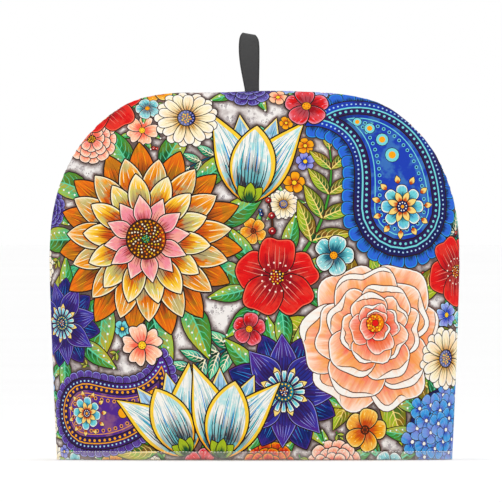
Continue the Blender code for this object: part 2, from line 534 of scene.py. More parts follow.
@dataclass(frozen=True)
class Paisley:
    """A curled drop with a fringe of small petals, bands of beads, and a flower in its body."""

    radius: float
    tail: float
    curl: float
    outer: Dye
    inner: Dye
    bead: Dye
    fringe: PetalFinish
    heart: Flower
    steps: int = 30

    def spine(self) -> Array:
        """The line from the middle of the body to the tip of the tail."""
        return arc_spine(self.tail, self.curl, self.steps, 1.5)

    def width(self, share: Array) -> Array:
        """The drop's width at shares of the way along its spine."""
        return 2 * self.radius * (1 - share) ** 1.05 * (1 + 0.9 * share)

    def outline(self, inset: float) -> Array:
        """The drop's outline, moved inwards."""
        share = np.linspace(0, 1, self.steps + 1)
        widths = self.width(share) - 2 * inset
        end = float(np.interp(0.4, widths[::-1], share[::-1]))
        wanted = np.linspace(0, end, 22)
        spine = np.stack([np.interp(wanted, share, axis) for axis in self.spine().T], axis=1)
        sides = ribbon(spine, np.interp(wanted, share, widths))
        angles = np.radians(np.linspace(105, 255, 9))
        return np.vstack([sides, (self.radius - inset) * circle(angles)])

    def draw(self, art: Artwork, where: Array) -> None:
        """Paints the fringe, the bands, the beads, the heart and the buds along the tail."""
        edge, scale = self.outline(0), self.radius / 30
        places, angles = along(edge, 7.2 * scale)
        for (x, y), angle in zip(places, angles):
            spot = where @ placed(x, y, angle - 90) @ placed(x=-2.5)
            art.petal(spot, 9.5 * scale, 8 * scale, ROUND, self.fringe)
        art.paint(where, grown(edge, 0.9), Ink(OUTLINE))
        flow = Ink(self.outer, self.inner, soft=0.8, accent=PLUM, wash=0.6)
        body = Ink(self.inner, self.outer, accent=self.bead, turn=0.75, soft=0.9, wash=0.18)
        for inset, ink in (
            (0.0, flow),
            (4.4, Ink(self.bead)),
            (5.4, Ink(PLUM)),
            (9.4, Ink(OUTLINE)),
            (10.2, body),
            (12.4, Ink(self.bead)),
            (13.0, body),
        ):
            art.paint(where, self.outline(inset * scale), ink, self.tail + self.radius, 2 * self.radius)
        for inset, spacing, dot, dye in (
            (2.3, 3.4, 0.75, PALE_BLUE),
            (7.4, 4.2, 1.1, self.bead),
            (15.6, 5.0, 1.5, self.bead),
            (15.6, 5.0, 0.9, self.outer),
        ):
            for x, y in along(self.outline(inset * scale), spacing)[0]:
                art.disc(where @ placed(x, y), dot, Ink(dye), 6)
        self.heart.draw(art, where @ placed(size=scale * 0.82))
        self.buds(art, where)

    def buds(self, art: Artwork, where: Array) -> None:
        """Paints round buds up the tail, each smaller than the last."""
        spine = self.spine()
        for share in (0.34, 0.46, 0.57, 0.66):
            x, y = (float(np.interp(share * self.steps, np.arange(self.steps + 1), axis)) for axis in spine.T)
            size = 0.085 * float(self.width(np.array(share)))
            Spot(size, Ink(self.bead), 0.5, 12).draw(art, where @ placed(x, y))
            art.disc(where @ placed(x, y), size * 0.55, Ink(GOLD), 8)


@dataclass(frozen=True)
class Tulip:
    """A tulip from the side: two petals behind, two at the sides and one in front."""

    finish: PetalFinish
    back_finish: PetalFinish
    calyx: PetalFinish
    length: float = 70.0

    def draw(self, art: Artwork, where: Array) -> None:
        """Paints the petals from the back to the front, then the calyx."""
        long = self.length
        for side in (-1, 1):
            spot = where @ placed(degrees=side * 12)
            art.petal(spot, long * 0.93, long * 0.42, FLAME, self.back_finish)
        for side in (-1, 1):
            spot = where @ placed(degrees=side * 19)
            art.petal(spot, long, long * 0.44, FLAME, self.finish, side * 0.17)
        art.petal(where, long * 0.8, long * 0.47, POINTED, self.finish)
        for degrees in (-38, 38, 0):
            art.petal(where @ placed(-2.0, 0, degrees), long * 0.2, long * 0.11, POINTED, self.calyx)


@dataclass(frozen=True)
class LeafFinish:
    """How a leaf is painted: its two halves, its ribs and the dots along it."""

    light: Ink
    dark: Ink
    rib: Dye
    dots: Dye | None = None


@dataclass(frozen=True)
class Leaf:
    """A leaf with a midrib, side ribs and a darker half."""

    length: float
    width: float
    finish: LeafFinish
    bend: float = 0.12
    ribs: int = 5
    steps: int = 9

    def draw(self, art: Artwork, where: Array) -> None:
        """Paints the leaf from its stalk at the frame's origin along its first axis."""
        side = LANCE.side(self.steps) * (self.length, self.width / 2)
        lean = self.bend * self.length * (side[:, 0] / self.length) ** 2
        right = np.c_[side[:, 0], lean - side[:, 1]]
        left = np.c_[side[:, 0], lean + side[:, 1]][::-1]
        whole = np.vstack([right, left[1:]])
        art.paint(where, grown(whole, 0.75), Ink(OUTLINE))
        art.paint(where, whole, self.finish.light, self.length, self.width, self.bend)
        spine = np.c_[side[:, 0], lean]
        half = np.vstack([right, spine[-2:0:-1]])
        art.paint(where, half, self.finish.dark, self.length, self.width, self.bend)
        rib = Ink(self.finish.rib)
        for i in range(self.ribs):
            start = 0.10 + 0.66 * i / self.ribs
            reach = start + 0.20
            for away, sign in ((left[::-1], 1), (right, -1)):
                y0 = self.bend * self.length * start**2
                edge = np.interp(reach * self.length, away[:, 0], away[:, 1])
                y1 = y0 + 0.80 * (edge - y0)
                middle = (y0 + y1) / 2 + sign * 0.02 * self.length
                line = np.array([[start, y0], [(start + reach) / 2 - 0.03, middle], [reach, y1]])
                art.line(where, line * (self.length, 1), np.array([0.55, 0.45, 0.15]), rib)
        art.line(where, spine[:-1], np.linspace(min(1.3, 0.07 * self.length), 0.3, self.steps), rib)
        if self.finish.dots:
            for x, y in along(left[::-1][2:-1] * (1, 0.62), 4.6, False)[0]:
                art.disc(where @ placed(x, y), 0.8, Ink(self.finish.dots), 6)


@dataclass(frozen=True)
class Spray:
    """A curved stem with leaves or berries at both sides and one at its end."""

    length: float
    curl: float
    pairs: int
    leaf: Leaf | Flower
    stem: Dye
    stem_width: float = 1.5
    angle: float = 42.0
    shrink: float = 0.45
    back: float = 0.0
    steps: int = 14

    def draw(self, art: Artwork, where: Array) -> None:
        """Paints the stem and then its leaves from the end back to the start."""
        steps, where = self.steps, where @ placed(x=-self.back)
        spine = arc_spine(self.length, self.curl, steps)
        widths = np.linspace(self.stem_width, self.stem_width * 0.4, steps + 1)
        art.line(where, spine, widths + 1.0, Ink(OUTLINE))
        art.line(where, spine, widths, Ink(self.stem))
        end = where @ placed(*spine[-1], self.curl)
        self.leaf.draw(art, end @ placed(size=1 - self.shrink))
        for i in reversed(range(self.pairs)):
            share = (i + 0.7) / (self.pairs + 0.5)
            at = share * steps
            low = int(at)
            x, y = spine[low] + (spine[low + 1] - spine[low]) * (at - low)
            for sign in (-1, 1):
                spot = where @ placed(x, y, self.curl * share + sign * self.angle)
                self.leaf.draw(art, spot @ placed(size=1 - self.shrink * share) @ np.diag([1.0, sign, 1.0]))


# Finishes of the motifs


STROKE_TAPER = np.array([0.5, 1.0, 0.75, 0.2])
SUN_BACK = PetalFinish(
    Ink(BROWN, ORANGE, RUST, OLIVE, 0.62, 0.6, 0.6, 0.4, GOLD, 1.05),
    line=1.0,
    strokes=(Strokes(BROWN, 4, 0.3, 0.8), Strokes(GOLD, 2, 0.6, 0.92)),
)
SUN_MIDDLE = PetalFinish(
    Ink(RUST, GOLD, ORANGE, MINT, 0.68, 0.5, 0.5, 0.42, CREAM, 0.98),
    Ink(GOLD, CREAM, turn=0.6, soft=0.4),
    0.8,
    1.0,
    (Strokes(BROWN, 5, 0.1, 0.62), Strokes(CREAM, 3, 0.56, 0.94, 0.55)),
)
SUN_FRONT = PetalFinish(
    Ink(RUST, YELLOW, ORANGE, MINT, 0.6, 0.45, 0.4, 0.36, CREAM, 0.9),
    Ink(YELLOW, CREAM, turn=0.45, soft=0.3),
    0.9,
    1.0,
    (Strokes(BROWN, 5, 0.1, 0.6), Strokes(WHITE, 2, 0.6, 0.92, 0.6)),
)
SUN_INNER = PetalFinish(
    Ink(CRIMSON, PINK, CORAL, PEACH, 0.28, 0.5, 0.5, 0.4, BLUSH, 0.86),
    Ink(BLUSH),
    0.6,
    0.9,
    (Strokes(CRIMSON, 4, 0.05, 0.5),),
)
SUNFLOWER = Flower(
    (
        PetalRing(15, 25, 46, 20, POINTED, SUN_BACK, 0.5),
        PetalRing(15, 22, 40, 18.5, POINTED, SUN_MIDDLE),
        PetalRing(14, 17, 31, 16, POINTED, SUN_FRONT, 0.5),
        PetalRing(12, 12, 20, 12.5, FLAME, SUN_INNER),
        Spot(14.5, Ink(BROWN, RUST, OUTLINE, turn=0.9, streaks=0.4), 0.8, 28),
        DotRing(26, 13.2, 0.75, GOLD),
        Seeds(80, 11.6, 0.62, (YELLOW, ORANGE, CREAM)),
        Spot(3.2, Ink(BOTTLE), 0.3, 12),
        Seeds(12, 2.6, 0.45, (LIME, MINT)),
    )
)
ROSE_HEART = Flower(
    (
        Spot(6.6, Ink(RUST, ORANGE), 0.5, 18),
        Seeds(34, 6.2, 0.8, (GOLD, YELLOW, ORANGE)),
        Spot(2.4, Ink(RED), 0.4, 10),
    )
)
ROSE = Rose(
    PetalFinish(
        Ink(CORAL, PEACH, SALMON, GOLD, 0.72, 0.7, 0.25, 0.45, BLUSH, 1.0),
        Ink(BLUSH, WHITE, turn=0.7),
        0.9,
        0.7,
        (Strokes(SALMON, 4, 0.45, 0.8, 0.5),),
        BROWN,
        Ink(PEACH, WHITE, BLUSH, turn=0.84, soft=0.6, streaks=0.4),
    ),
    PetalFinish(
        Ink(RED, SALMON, CORAL, ORANGE, 0.6, 0.6, 0.3, 0.45, BLUSH, 0.98),
        Ink(PEACH, BLUSH, turn=0.6),
        0.7,
        0.6,
        (Strokes(RED, 3, 0.2, 0.6, 0.4),),
        BROWN,
        Ink(BLUSH, WHITE, turn=0.6),
    ),
)
FRINGE_BLUE = PetalFinish(Ink(NAVY, COBALT, TEAL, streaks=0.4), Ink(SKY), 0.7, 0.6, (Strokes(NAVY, 2),))
FRINGE_PURPLE = PetalFinish(Ink(PLUM, PURPLE, LILAC, streaks=0.5), Ink(LILAC), 0.5, 0.6, (Strokes(PLUM, 2),))
TEAL_PETAL = PetalFinish(
    Ink(PETROL, AQUA, TEAL, SKY, 0.45, 0.5, 0.5, 0.4, WHITE, 1.0),
    Ink(WHITE),
    0.6,
    0.6,
    (Strokes(PETROL, 3, 0.0, 0.55),),
)
GOLD_PETAL = PetalFinish(Ink(RUST, BUTTER, ORANGE, turn=0.4, streaks=0.4), line=0.5)
PAISLEY_HEART = Flower(
    (
        PetalRing(11, 17.6, 6.0, 4.0, LANCE, GOLD_PETAL, 0.3),
        PetalRing(8, 5.5, 11, 8.5, ROUND, TEAL_PETAL),
        PetalRing(8, 3.5, 8, 4.5, POINTED, GOLD_PETAL, 0.5),
        Spot(4.2, Ink(NAVY), 0.4, 16),
        DotRing(9, 3.0, 0.55, WHITE),
        Spot(1.4, Ink(GOLD), 0.0, 8),
    )
)
LILY_PETAL = PetalFinish(
    Ink(CHARCOAL, WHITE, TEAL, AQUA, 0.42, 0.5, 0.7, 0.6),
    Ink(GOLD, YELLOW, KHAKI, streaks=0.3, glow=BUTTER, edge=1.0),
    3.0,
    1.1,
    (
        Strokes(TEAL, 5, 0.3, 0.82, 1.1),
        Strokes(WHITE, 5, 0.34, 0.86, 0.9),
        Strokes(SKY, 2, 0.35, 0.75, 0.8, 0.5),
        Strokes(CHARCOAL, 9, 0.0, 0.62, 0.9),
    ),
)
LILY_BACK = PetalFinish(
    Ink(CHARCOAL, PALE_BLUE, SLATE, TEAL, 0.5, 0.6, 0.9, 0.5),
    Ink(OLIVE, BUTTER),
    1.8,
    0.9,
    (Strokes(WHITE, 3, 0.4, 0.85, 0.8), Strokes(CHARCOAL, 6, 0.2, 0.75, 0.8)),
)
CALYX = PetalFinish(Ink(BOTTLE, LIME, LEAF, streaks=0.4), line=0.7, strokes=(Strokes(BOTTLE, 3, 0.0, 0.6),))
LILY = Tulip(LILY_PETAL, LILY_BACK, CALYX)
BLUE_FLORET = PetalFinish(Ink(ROYAL, SKY, PALE_BLUE, LILAC, 0.4, 0.5, 0.4, 0.5, PALE_BLUE, 1.05), line=0.5)
FLORET = Flower((PetalRing(4, 0.8, 8.6, 8.6, ROUND, BLUE_FLORET), Spot(1.5, Ink(WHITE), 0.4, 8)))
RED_PETAL = PetalFinish(
    Ink(CRIMSON, RED, CRIMSON, CORAL, 0.5, 0.7, 0.4, 0.2, CORAL, 1.16),
    Ink(RED, CORAL, turn=0.7),
    0.8,
    0.9,
    (Strokes(CRIMSON, 6, 0.15, 0.72, 0.7), Strokes(SALMON, 4, 0.1, 0.82, 0.4, 0.6)),
)
HIBISCUS = Flower(
    (
        PetalRing(5, 3, 27, 28, BROAD, RED_PETAL, ruffle=0.05),
        DotRing(15, 11.0, 0.75, BLUSH, 0.3),
        Spot(5.0, Ink(CRIMSON, OUTLINE), 0.6, 16),
        Seeds(22, 5.6, 0.62, (YELLOW, GOLD, CREAM)),
    )
)


def blossom(base: Dye, tip: Dye, rim: Dye, middle: Dye, form: PetalForm = HEART) -> Flower:
    """A small five-petalled flower, 26 mm across."""
    ink = Ink(base, tip, base, rim, 0.5, 0.5, 0.5, 0.2, rim, 0.98)
    strokes = Strokes(base, 3, 0.1, 0.65), Strokes(rim, 2, 0.6, 0.85, 0.6)
    finish = PetalFinish(ink, Ink(rim), 0.45, 0.8, strokes)
    middle_spots = Spot(2.6, Ink(middle), 0.5, 12), DotRing(6, 1.6, 0.45, RUST)
    return Flower((PetalRing(5, 1.2, 12.5, 11.5, form, finish), *middle_spots))


def posy(base: Dye, tip: Dye) -> Flower:
    """A plain small flower for a narrow gap, 18 mm across."""
    finish = PetalFinish(Ink(base, tip, turn=0.45, soft=0.6), line=0.7)
    return Flower((PetalRing(5, 0.8, 8.0, 7.4, ROUND, finish), Spot(1.9, Ink(YELLOW), 0.5, 8)))


CORAL_BLOSSOM = blossom(CORAL, PEACH, BLUSH, YELLOW)
RED_BLOSSOM = blossom(CRIMSON, RED, PINK, GOLD, ROUND)
LILAC_BLOSSOM = blossom(ROYAL, LILAC, PALE_BLUE, YELLOW)
TEAL_BLOSSOM = blossom(PETROL, AQUA, WHITE, GOLD, ROUND)
GOLD_BLOSSOM = blossom(RUST, GOLD, BUTTER, BROWN, ROUND)
WHITE_RAY = PetalFinish(
    Ink(OCHRE, CREAM, BUTTER, PEACH, 0.35, 0.5, 0.5, 0.35, WHITE, 0.9),
    strokes=(Strokes(KHAKI, 2, 0.1, 0.7), Strokes(BROWN, 2, 0.0, 0.35)),
)
DAISY = Flower(
    (
        PetalRing(13, 5, 17, 7.2, ROUND, WHITE_RAY, 0.5),
        PetalRing(13, 5, 15, 6.8, ROUND, WHITE_RAY),
        Spot(6.0, Ink(SLATE, NAVY), 0.6, 18),
        DotRing(14, 4.9, 0.6, LILAC),
        Seeds(16, 3.6, 0.6, (YELLOW, GOLD)),
    )
)
GREEN_LEAF = LeafFinish(
    Ink(EMERALD, LIME, MINT, OCHRE, 0.5, 0.6, 0.45, 0.4),
    Ink(BOTTLE, LEAF, EMERALD, OLIVE, 0.5, 0.6, 0.5, 0.5),
    MINT,
    WHITE,
)
LIME_LEAF = LeafFinish(
    Ink(LEAF, LIME, EMERALD, OCHRE, 0.4, 0.6, 0.4, 0.5),
    Ink(BOTTLE, OLIVE, LEAF, RUST, 0.5, 0.6, 0.4, 0.3),
    BUTTER,
)
TEAL_LEAF = LeafFinish(
    Ink(PETROL, MINT, AQUA, LIME, 0.5, 0.6, 0.5, 0.3),
    Ink(BOTTLE, EMERALD, PETROL, soft=0.6, streaks=0.4),
    CREAM,
)


@dataclass(frozen=True)
class Hydrangea:
    """A round head of small four-petalled florets over a dark ground."""

    radius: float = 30.0
    count: int = 26

    def draw(self, art: Artwork, where: Array) -> None:
        """Paints the florets from the rim inwards, so that the middle ones lie on top."""
        Spot(self.radius, Ink(NAVY), 1.0, 24).draw(art, where)
        for i in reversed(range(self.count)):
            reach = self.radius * 0.98 * math.sqrt((i + 0.3) / self.count)
            spot = where @ placed(degrees=math.degrees(i * GOLDEN_ANGLE)) @ placed(x=reach)
            FLORET.draw(art, spot @ placed(degrees=art.chance.uniform(0, 90), size=art.near(0.92, 0.08)))


def pompon(base: Dye, tip: Dye, streak: Dye, rim: Dye) -> Flower:
    """A small full flower of three rings of round petals, 44 mm across."""
    ink = Ink(base, tip, streak, rim, 0.7, 0.6, 0.5, 0.2, rim, 1.0)
    finish = PetalFinish(ink, Ink(rim), 0.45, 0.75, (Strokes(base, 3, 0.3, 0.8), Strokes(rim, 2, 0.7, 0.9)))
    return Flower(
        (
            PetalRing(13, 10, 12, 10, ROUND, finish),
            PetalRing(11, 6, 10.5, 9, ROUND, finish, 0.5),
            PetalRing(8, 2.5, 9, 8, ROUND, finish),
            Spot(3.6, Ink(BROWN), 0.5, 12),
            Seeds(14, 3.2, 0.55, (YELLOW, GOLD)),
        )
    )


@dataclass(frozen=True)
class LeafCrown:
    """Leaves that stand out from under a flower."""

    reach: float
    count: int
    leaf: Leaf
    spread: float = 0.2

    def draw(self, art: Artwork, where: Array) -> None:
        """Paints the leaves, each a little uneven."""
        for i in range(self.count):
            degrees = (i + art.chance.uniform(-1, 1) * self.spread) * 360 / self.count
            spot = where @ placed(degrees=degrees) @ placed(x=self.reach, degrees=art.chance.uniform(-22, 22))
            size = art.near(1.0, 0.15)
            flip = art.chance.choice((-1.0, 1.0))
            self.leaf.draw(art, spot @ placed(size=size) @ np.diag([1.0, flip, 1.0]))


CLEMATIS_BACK = PetalFinish(
    Ink(PLUM, NAVY, ROYAL, PURPLE, 0.45, 0.6, 0.5, 0.4, ROYAL, 1.1),
    Ink(PURPLE),
    0.6,
    0.9,
    (Strokes(SKY, 5, 0.45, 0.85, 0.45), Strokes(PLUM, 4, 0.1, 0.6, 0.7)),
)
CLEMATIS_FRONT = PetalFinish(
    Ink(PLUM, PURPLE, ROYAL, ROYAL, 0.58, 0.7, 0.5, 0.4, LILAC, 1.16),
    Ink(LILAC),
    0.6,
    0.9,
    (Strokes(PLUM, 6, 0.1, 0.75, 0.8), Strokes(LILAC, 5, 0.45, 0.9, 0.45)),
)
CLEMATIS = Flower(
    (
        PetalRing(8, 8, 38, 23, POINTED, CLEMATIS_BACK, 0.5),
        PetalRing(8, 8, 35, 22, FLAME, CLEMATIS_FRONT),
        PetalRing(8, 11, 9, 5.0, LANCE, GOLD_PETAL, 0.5),
        PetalRing(16, 5, 11, 3.4, DROP, TEAL_PETAL),
        Spot(7.5, Ink(PETROL, TEAL, turn=0.8), 0.7, 22),
        DotRing(14, 6.0, 0.7, YELLOW),
        Spot(3.8, Ink(NAVY), 0.4, 14),
        Seeds(12, 3.2, 0.55, (WHITE, GOLD)),
    )
)
PURPLE_POMPON = pompon(PLUM, PURPLE, ROYAL, LILAC)
CORAL_POMPON = pompon(CORAL, PEACH, PINK, BLUSH)
RED_POMPON = pompon(CRIMSON, RED, ORANGE, GOLD)
LEAF_SPRIG = Spray(8, 25, 1, Leaf(10, 5.2, LIME_LEAF, ribs=0), LEAF, 1.2, back=5.0)
RED_BERRY = Flower((Spot(2.9, Ink(CRIMSON, CORAL, turn=0.6), 0.6, 9), Spot(0.8, Ink(BLUSH), 0.0, 6)))
BLUE_BERRY = Flower((Spot(2.9, Ink(NAVY, SKY, turn=0.6), 0.6, 9), Spot(0.8, Ink(WHITE), 0.0, 6)))
RED_BERRIES = Spray(8, 30, 1, RED_BERRY, BROWN, 1.0, 50.0, 0.2, back=3.0)
BLUE_BERRIES = Spray(8, -30, 1, BLUE_BERRY, BROWN, 1.0, 50.0, 0.2, back=3.0)
POSIES = tuple(
    posy(*dyes)
    for dyes in ((CORAL, PEACH), (PETROL, AQUA), (RUST, GOLD), (ROYAL, LILAC))
)


@dataclass
class BareGround:
    """The ground that the main motifs leave bare, on a coarse grid over the cloth."""

    cloth: "FlatCloth"
    step: float = 2.0
    margin: float = 6.0

    def __post_init__(self) -> None:
        """Lays the grid."""
        half, margin = self.cloth.half, self.margin
        across = np.arange(-half - margin, half + margin, self.step)
        up = np.arange(-margin, float(self.cloth.top(np.zeros(1))[0]) + margin, self.step)
        self.u, self.v = np.meshgrid(across, up)
        self.taken = np.zeros(self.u.shape, bool)

    def cover(self, outline: Array) -> None:
        """Marks the cells within an outline as taken."""
        low, high = outline.min(axis=0), outline.max(axis=0)
        columns = slice(*np.searchsorted(self.u[0], (low[0], high[0])))
        rows = slice(*np.searchsorted(self.v[:, 0], (low[1], high[1])))
        self.taken[rows, columns] |= within(outline, self.u[rows, columns], self.v[rows, columns])

    def gaps(self, smallest: float, largest: float) -> list[tuple[float, float, float]]:
        """Round gaps, the widest first, as x, y and radius in millimetres."""
        tree = finder(np.c_[self.u[self.taken], self.v[self.taken]])
        u, v = self.u.ravel(), self.v.ravel()
        room = np.array([tree.find((*place, 0))[2] for place in zip(u, v)])
        room[v > self.cloth.top(np.clip(u, -self.cloth.half, self.cloth.half)) + self.margin] = 0
        found = []
        while room.max() > smallest:
            at = int(room.argmax())
            radius = min(float(room[at]), largest)
            found.append((float(u[at]), float(v[at]), radius))
            room = np.minimum(room, np.hypot(u - u[at], v - v[at]) - radius)
        return found


@dataclass(frozen=True)
class FlowerPrint:
    """The all-over print: main flowers in a repeat, leaves under them, and small flowers in the gaps.

    shift says from which place of the repeat the panel's cloth is cut.
    """

    shift: tuple[float, float] = (0.0, 0.0)
    repeat: tuple[float, float] = (384.0, 318.0)
    reach: float = 84.0
    cloth_height: float = 286.0
    left_bare: float = 0.34
    gap_sizes: tuple[float, float] = (4.2, 19.0)
    leafy_gap: float = 7.5
    wide_gap: float = 13.0
    never_bare_gap: float = 12.0

    def drawn(self, cloth: "FlatCloth") -> Artwork:
        """Paints the whole print for one panel.

        Args:
            cloth: The panel's flat cloth.

        Returns:
            The artwork, from the ground up.
        """
        leaves, flowers, small = Artwork(21), Artwork(11), Artwork(31)
        for motif, *spot in self.leaf_places():
            self.repeated(leaves, cloth, motif, spot)
        for motif, *spot in self.flower_places():
            self.repeated(flowers, cloth, motif, spot)
        ground = BareGround(cloth)
        for outline in leaves.outlines + flowers.outlines:
            ground.cover(outline)
        self.fill(small, ground)
        small.lay_over(leaves)
        small.lay_over(flowers)
        return small

    def repeated(self, art: Artwork, cloth: "FlatCloth", motif: object, spot: list[float]) -> None:
        """Draws a motif at each place of the repeat that reaches the cloth."""
        x, y, *rest = spot
        for column in (-1, 0, 1):
            for row in (-1, 0, 1):
                u = x + self.shift[0] + column * self.repeat[0]
                v = y + self.shift[1] + row * self.repeat[1]
                if abs(u) < cloth.half + self.reach and -self.reach < v < self.cloth_height + self.reach:
                    motif.draw(art, placed(u, v, *rest))

    def fill(self, art: Artwork, ground: BareGround) -> None:
        """Draws a small motif in each gap, chosen by its size, and leaves some of the smaller gaps bare."""
        wide = (PURPLE_POMPON, DAISY, CORAL_POMPON, TEAL_BLOSSOM, RED_POMPON, LILAC_BLOSSOM)
        middling = (CORAL_BLOSSOM, LILAC_BLOSSOM, RED_BLOSSOM, TEAL_BLOSSOM, GOLD_BLOSSOM, DAISY)
        tiny = (POSIES[0], LEAF_SPRIG, POSIES[1], RED_BERRIES, POSIES[2], LEAF_SPRIG, POSIES[3], BLUE_BERRIES)
        choices = (self.wide_gap, wide, 22.0), (self.leafy_gap, middling, 13.5), (0.0, tiny, 9.0)
        for i, (x, y, radius) in enumerate(ground.gaps(*self.gap_sizes)):
            degrees = art.chance.uniform(0, 360)
            if art.chance.random() < self.left_bare and radius < self.never_bare_gap:
                continue
            motifs, size = next((motifs, size) for least, motifs, size in choices if radius > least)
            motif = motifs[i % len(motifs)]
            if motif is DAISY:
                size = 22.0
            if radius > self.leafy_gap:
                LeafCrown(size * 0.5, 5, Leaf(size * 0.95, size * 0.36, GREEN_LEAF, ribs=3)).draw(
                    art, placed(x, y, degrees, radius * 1.15 / size)
                )
            motif.draw(art, placed(x, y, degrees, radius * 1.12 / size))

    def leaf_places(self) -> tuple[tuple, ...]:
        """The leaves under the main flowers: motif, x, y and degrees."""
        sun_leaves = LeafCrown(52, 11, Leaf(46, 19, GREEN_LEAF, ribs=6))
        rose_leaves = LeafCrown(38, 9, Leaf(42, 18, LIME_LEAF, ribs=6))
        small_leaves = LeafCrown(20, 7, Leaf(34, 13, GREEN_LEAF))
        teal = Spray(74, 46, 6, Leaf(24, 9.5, TEAL_LEAF, ribs=4), PETROL, 1.8)
        lime = Spray(84, 46, 4, Leaf(34, 13, LIME_LEAF), LEAF, 2.2)
        berries = Spray(52, 45, 4, RED_BERRY, BROWN, 1.2)
        return (
            (lime, 34, 150, 52),
            (lime, -66, -4, 128),
            (teal, 24, 226, 165),
            (teal, 172, 140, 110),
            (teal, -8, 84, 190),
            (berries, 12, 160, 80),
            (berries, 120, 132, 20),
            (berries, -150, 250, 40),
            (sun_leaves, -80, 162, 10),
            (rose_leaves, 90, 90, 5),
            (small_leaves, 20, 52, 0),
            (small_leaves, 16, 130, 30),
            (small_leaves, 146, 26, 0),
            (small_leaves, -152, 96, 20),
        )

    def flower_places(self) -> tuple[tuple, ...]:
        """The main flowers, those below first: motif, x, y and degrees."""
        navy = Paisley(37, 118, 122, NAVY, ROYAL, AQUA, FRINGE_BLUE, PAISLEY_HEART)
        purple = Paisley(26, 88, 112, PLUM, PURPLE, GOLD, FRINGE_PURPLE, PAISLEY_HEART)
        return (
            (LILY, -4, 192, 84),
            (navy, 110, 186, 92),
            (purple, -130, 34, -8),
            (CLEMATIS, -150, 100, 12, 0.72),
            (CLEMATIS, 22, 50, 0, 0.95),
            (SUNFLOWER, -80, 162, 8),
            (ROSE, 90, 90, 0),
            (LILY, -52, 6, 116, 0.92),
            (LILY, -26, 4, 78, 0.98),
            (Hydrangea(), 150, 22, 0),
            (HIBISCUS, 16, 134, 20, 0.98),
            (HIBISCUS, 158, 138, 50, 0.86),
            (DAISY, 150, 74, 10, 1.05),
            (DAISY, -50, 254, 0, 1.05),
            (CORAL_POMPON, -122, 238, 0, 0.9),
            (RED_BLOSSOM, 38, 264, 20, 1.2),
            (GOLD_BLOSSOM, 84, 22, 0, 1.15),
            (CORAL_BLOSSOM, -84, 84, 33, 1.1),
            (TEAL_BLOSSOM, 58, 150, 0, 1.05),
            (RED_BLOSSOM, -4, 96, 10, 0.9),
            (pompon(PETROL, AQUA, TEAL, WHITE), -184, -58, 0, 1.8),
            (HIBISCUS, -112, -48, 20, 0.9),
        )


# The panel


@dataclass(frozen=True)
class PanelForm:
    """Form of a padded panel in metres, the same as the part's: its outline, bulge, wall and hem."""

    half_width: float = 0.1510
    widest_height: float = 0.149
    hem_tuck: float = 0.0058
    tuck_power: float = 1.2
    arch_table: tuple[tuple[float, float], ...] = (
        (0.151, 0.149),
        (0.1503, 0.168),
        (0.1475, 0.1865),
        (0.1415, 0.207),
        (0.1305, 0.228),
        (0.1143, 0.2465),
        (0.091, 0.262),
        (0.062, 0.2688),
        (0.03, 0.2698),
        (0.0000, 0.27),
    )
    arch_steps: int = 12
    arch_height: float = 0.270
    ripple: float = 0.0006
    ripple_turns: float = 9
    ripple_phase: float = 0.6
    bulge: float = 0.050
    bulge_power: float = 0.62
    across_power: float = 2.4
    upward_power: float = 2.6
    flare: float = 0.0015
    flare_height: float = 0.070
    wall: float = 0.005
    seam_allowance: float = 0.007
    seam_pinch: float = 0.0012
    pinch_reach: float = 0.0012
    seam_gap: float = 0.00006
    stitch_height: float = 0.006
    stitch_dip: float = 0.0007
    stitch_reach: float = 0.003
    fold: float = 0.0013

    @property
    def arch_curve(self) -> Array:
        """Points on a smooth curve through the arch's table, from the middle outwards."""
        return _smooth_through(self.arch_table, self.arch_steps)[::-1]

    def arch(self, across: Array) -> Array:
        """Height of the arch at shares of the half width, with the slight ripple of its seam."""
        curve = self.arch_curve
        plain_height = np.interp(np.abs(across) * self.half_width, curve[:, 0], curve[:, 1])
        wave = np.sin(self.ripple_turns * across + self.ripple_phase) * (1 - across**2)
        return plain_height + self.ripple * wave

    def share(self, across: Array, upward: Array) -> Array:
        """Depth of the form at shares across and up, as a share of the bulge."""
        sideways = np.clip(1 - np.abs(across) ** self.across_power, 0, 1) ** self.bulge_power
        up = np.clip(1 - upward**self.upward_power, 0, 1) ** self.bulge_power
        return sideways * up

    def surface(self, across: Array, upward: Array, inner: bool) -> Array:
        """Points of the outer or inner face, before the hem's fold.

        Args:
            across: Shares of the half width, from -1 to 1.
            upward: Shares of the height, from 0 to 1.
            inner: Whether the inner face is meant.

        Returns:
            One row of x, depth and z for each share.
        """
        share = self.share(across, upward)
        depth = (self.bulge - self.wall if inner else self.bulge) * share
        inset = self.seam_allowance if inner else self.seam_pinch * np.exp(-depth / self.pinch_reach)
        height = upward * (self.arch(across) - inset)
        below = np.clip(1 - height / self.widest_height, 0, 1)
        x = across * (self.half_width - self.hem_tuck * below**self.tuck_power - inset)
        if not inner:
            from_stitches = (height - self.stitch_height) / self.stitch_reach
            depth = depth - self.stitch_dip * share * np.exp(-(from_stitches**2))
        depth = depth + self.flare * share * np.clip(1 - height / self.flare_height, 0, 1) ** 2
        return np.stack([x, depth + self.seam_gap / 2, height], axis=-1)

    def folded(self, across: Array, upward: Array, inner: bool) -> Array:
        """Points of a face whose lower edge rounds under to the middle of the wall, where both faces meet."""
        points = self.surface(across, upward, inner)
        ground = np.zeros_like(upward)
        outer, lower = self.surface(across, ground, False), self.surface(across, ground, True)
        middle = np.stack([outer[..., 0], (outer[..., 1] + lower[..., 1]) / 2], axis=-1)
        up = np.clip(1 - points[..., 2] / self.fold, 0, 1)
        turned = 1 - np.sqrt(np.clip(1 - up**2, 0, 1))
        points[..., :2] += (middle - points[..., :2]) * turned[..., None]
        return points


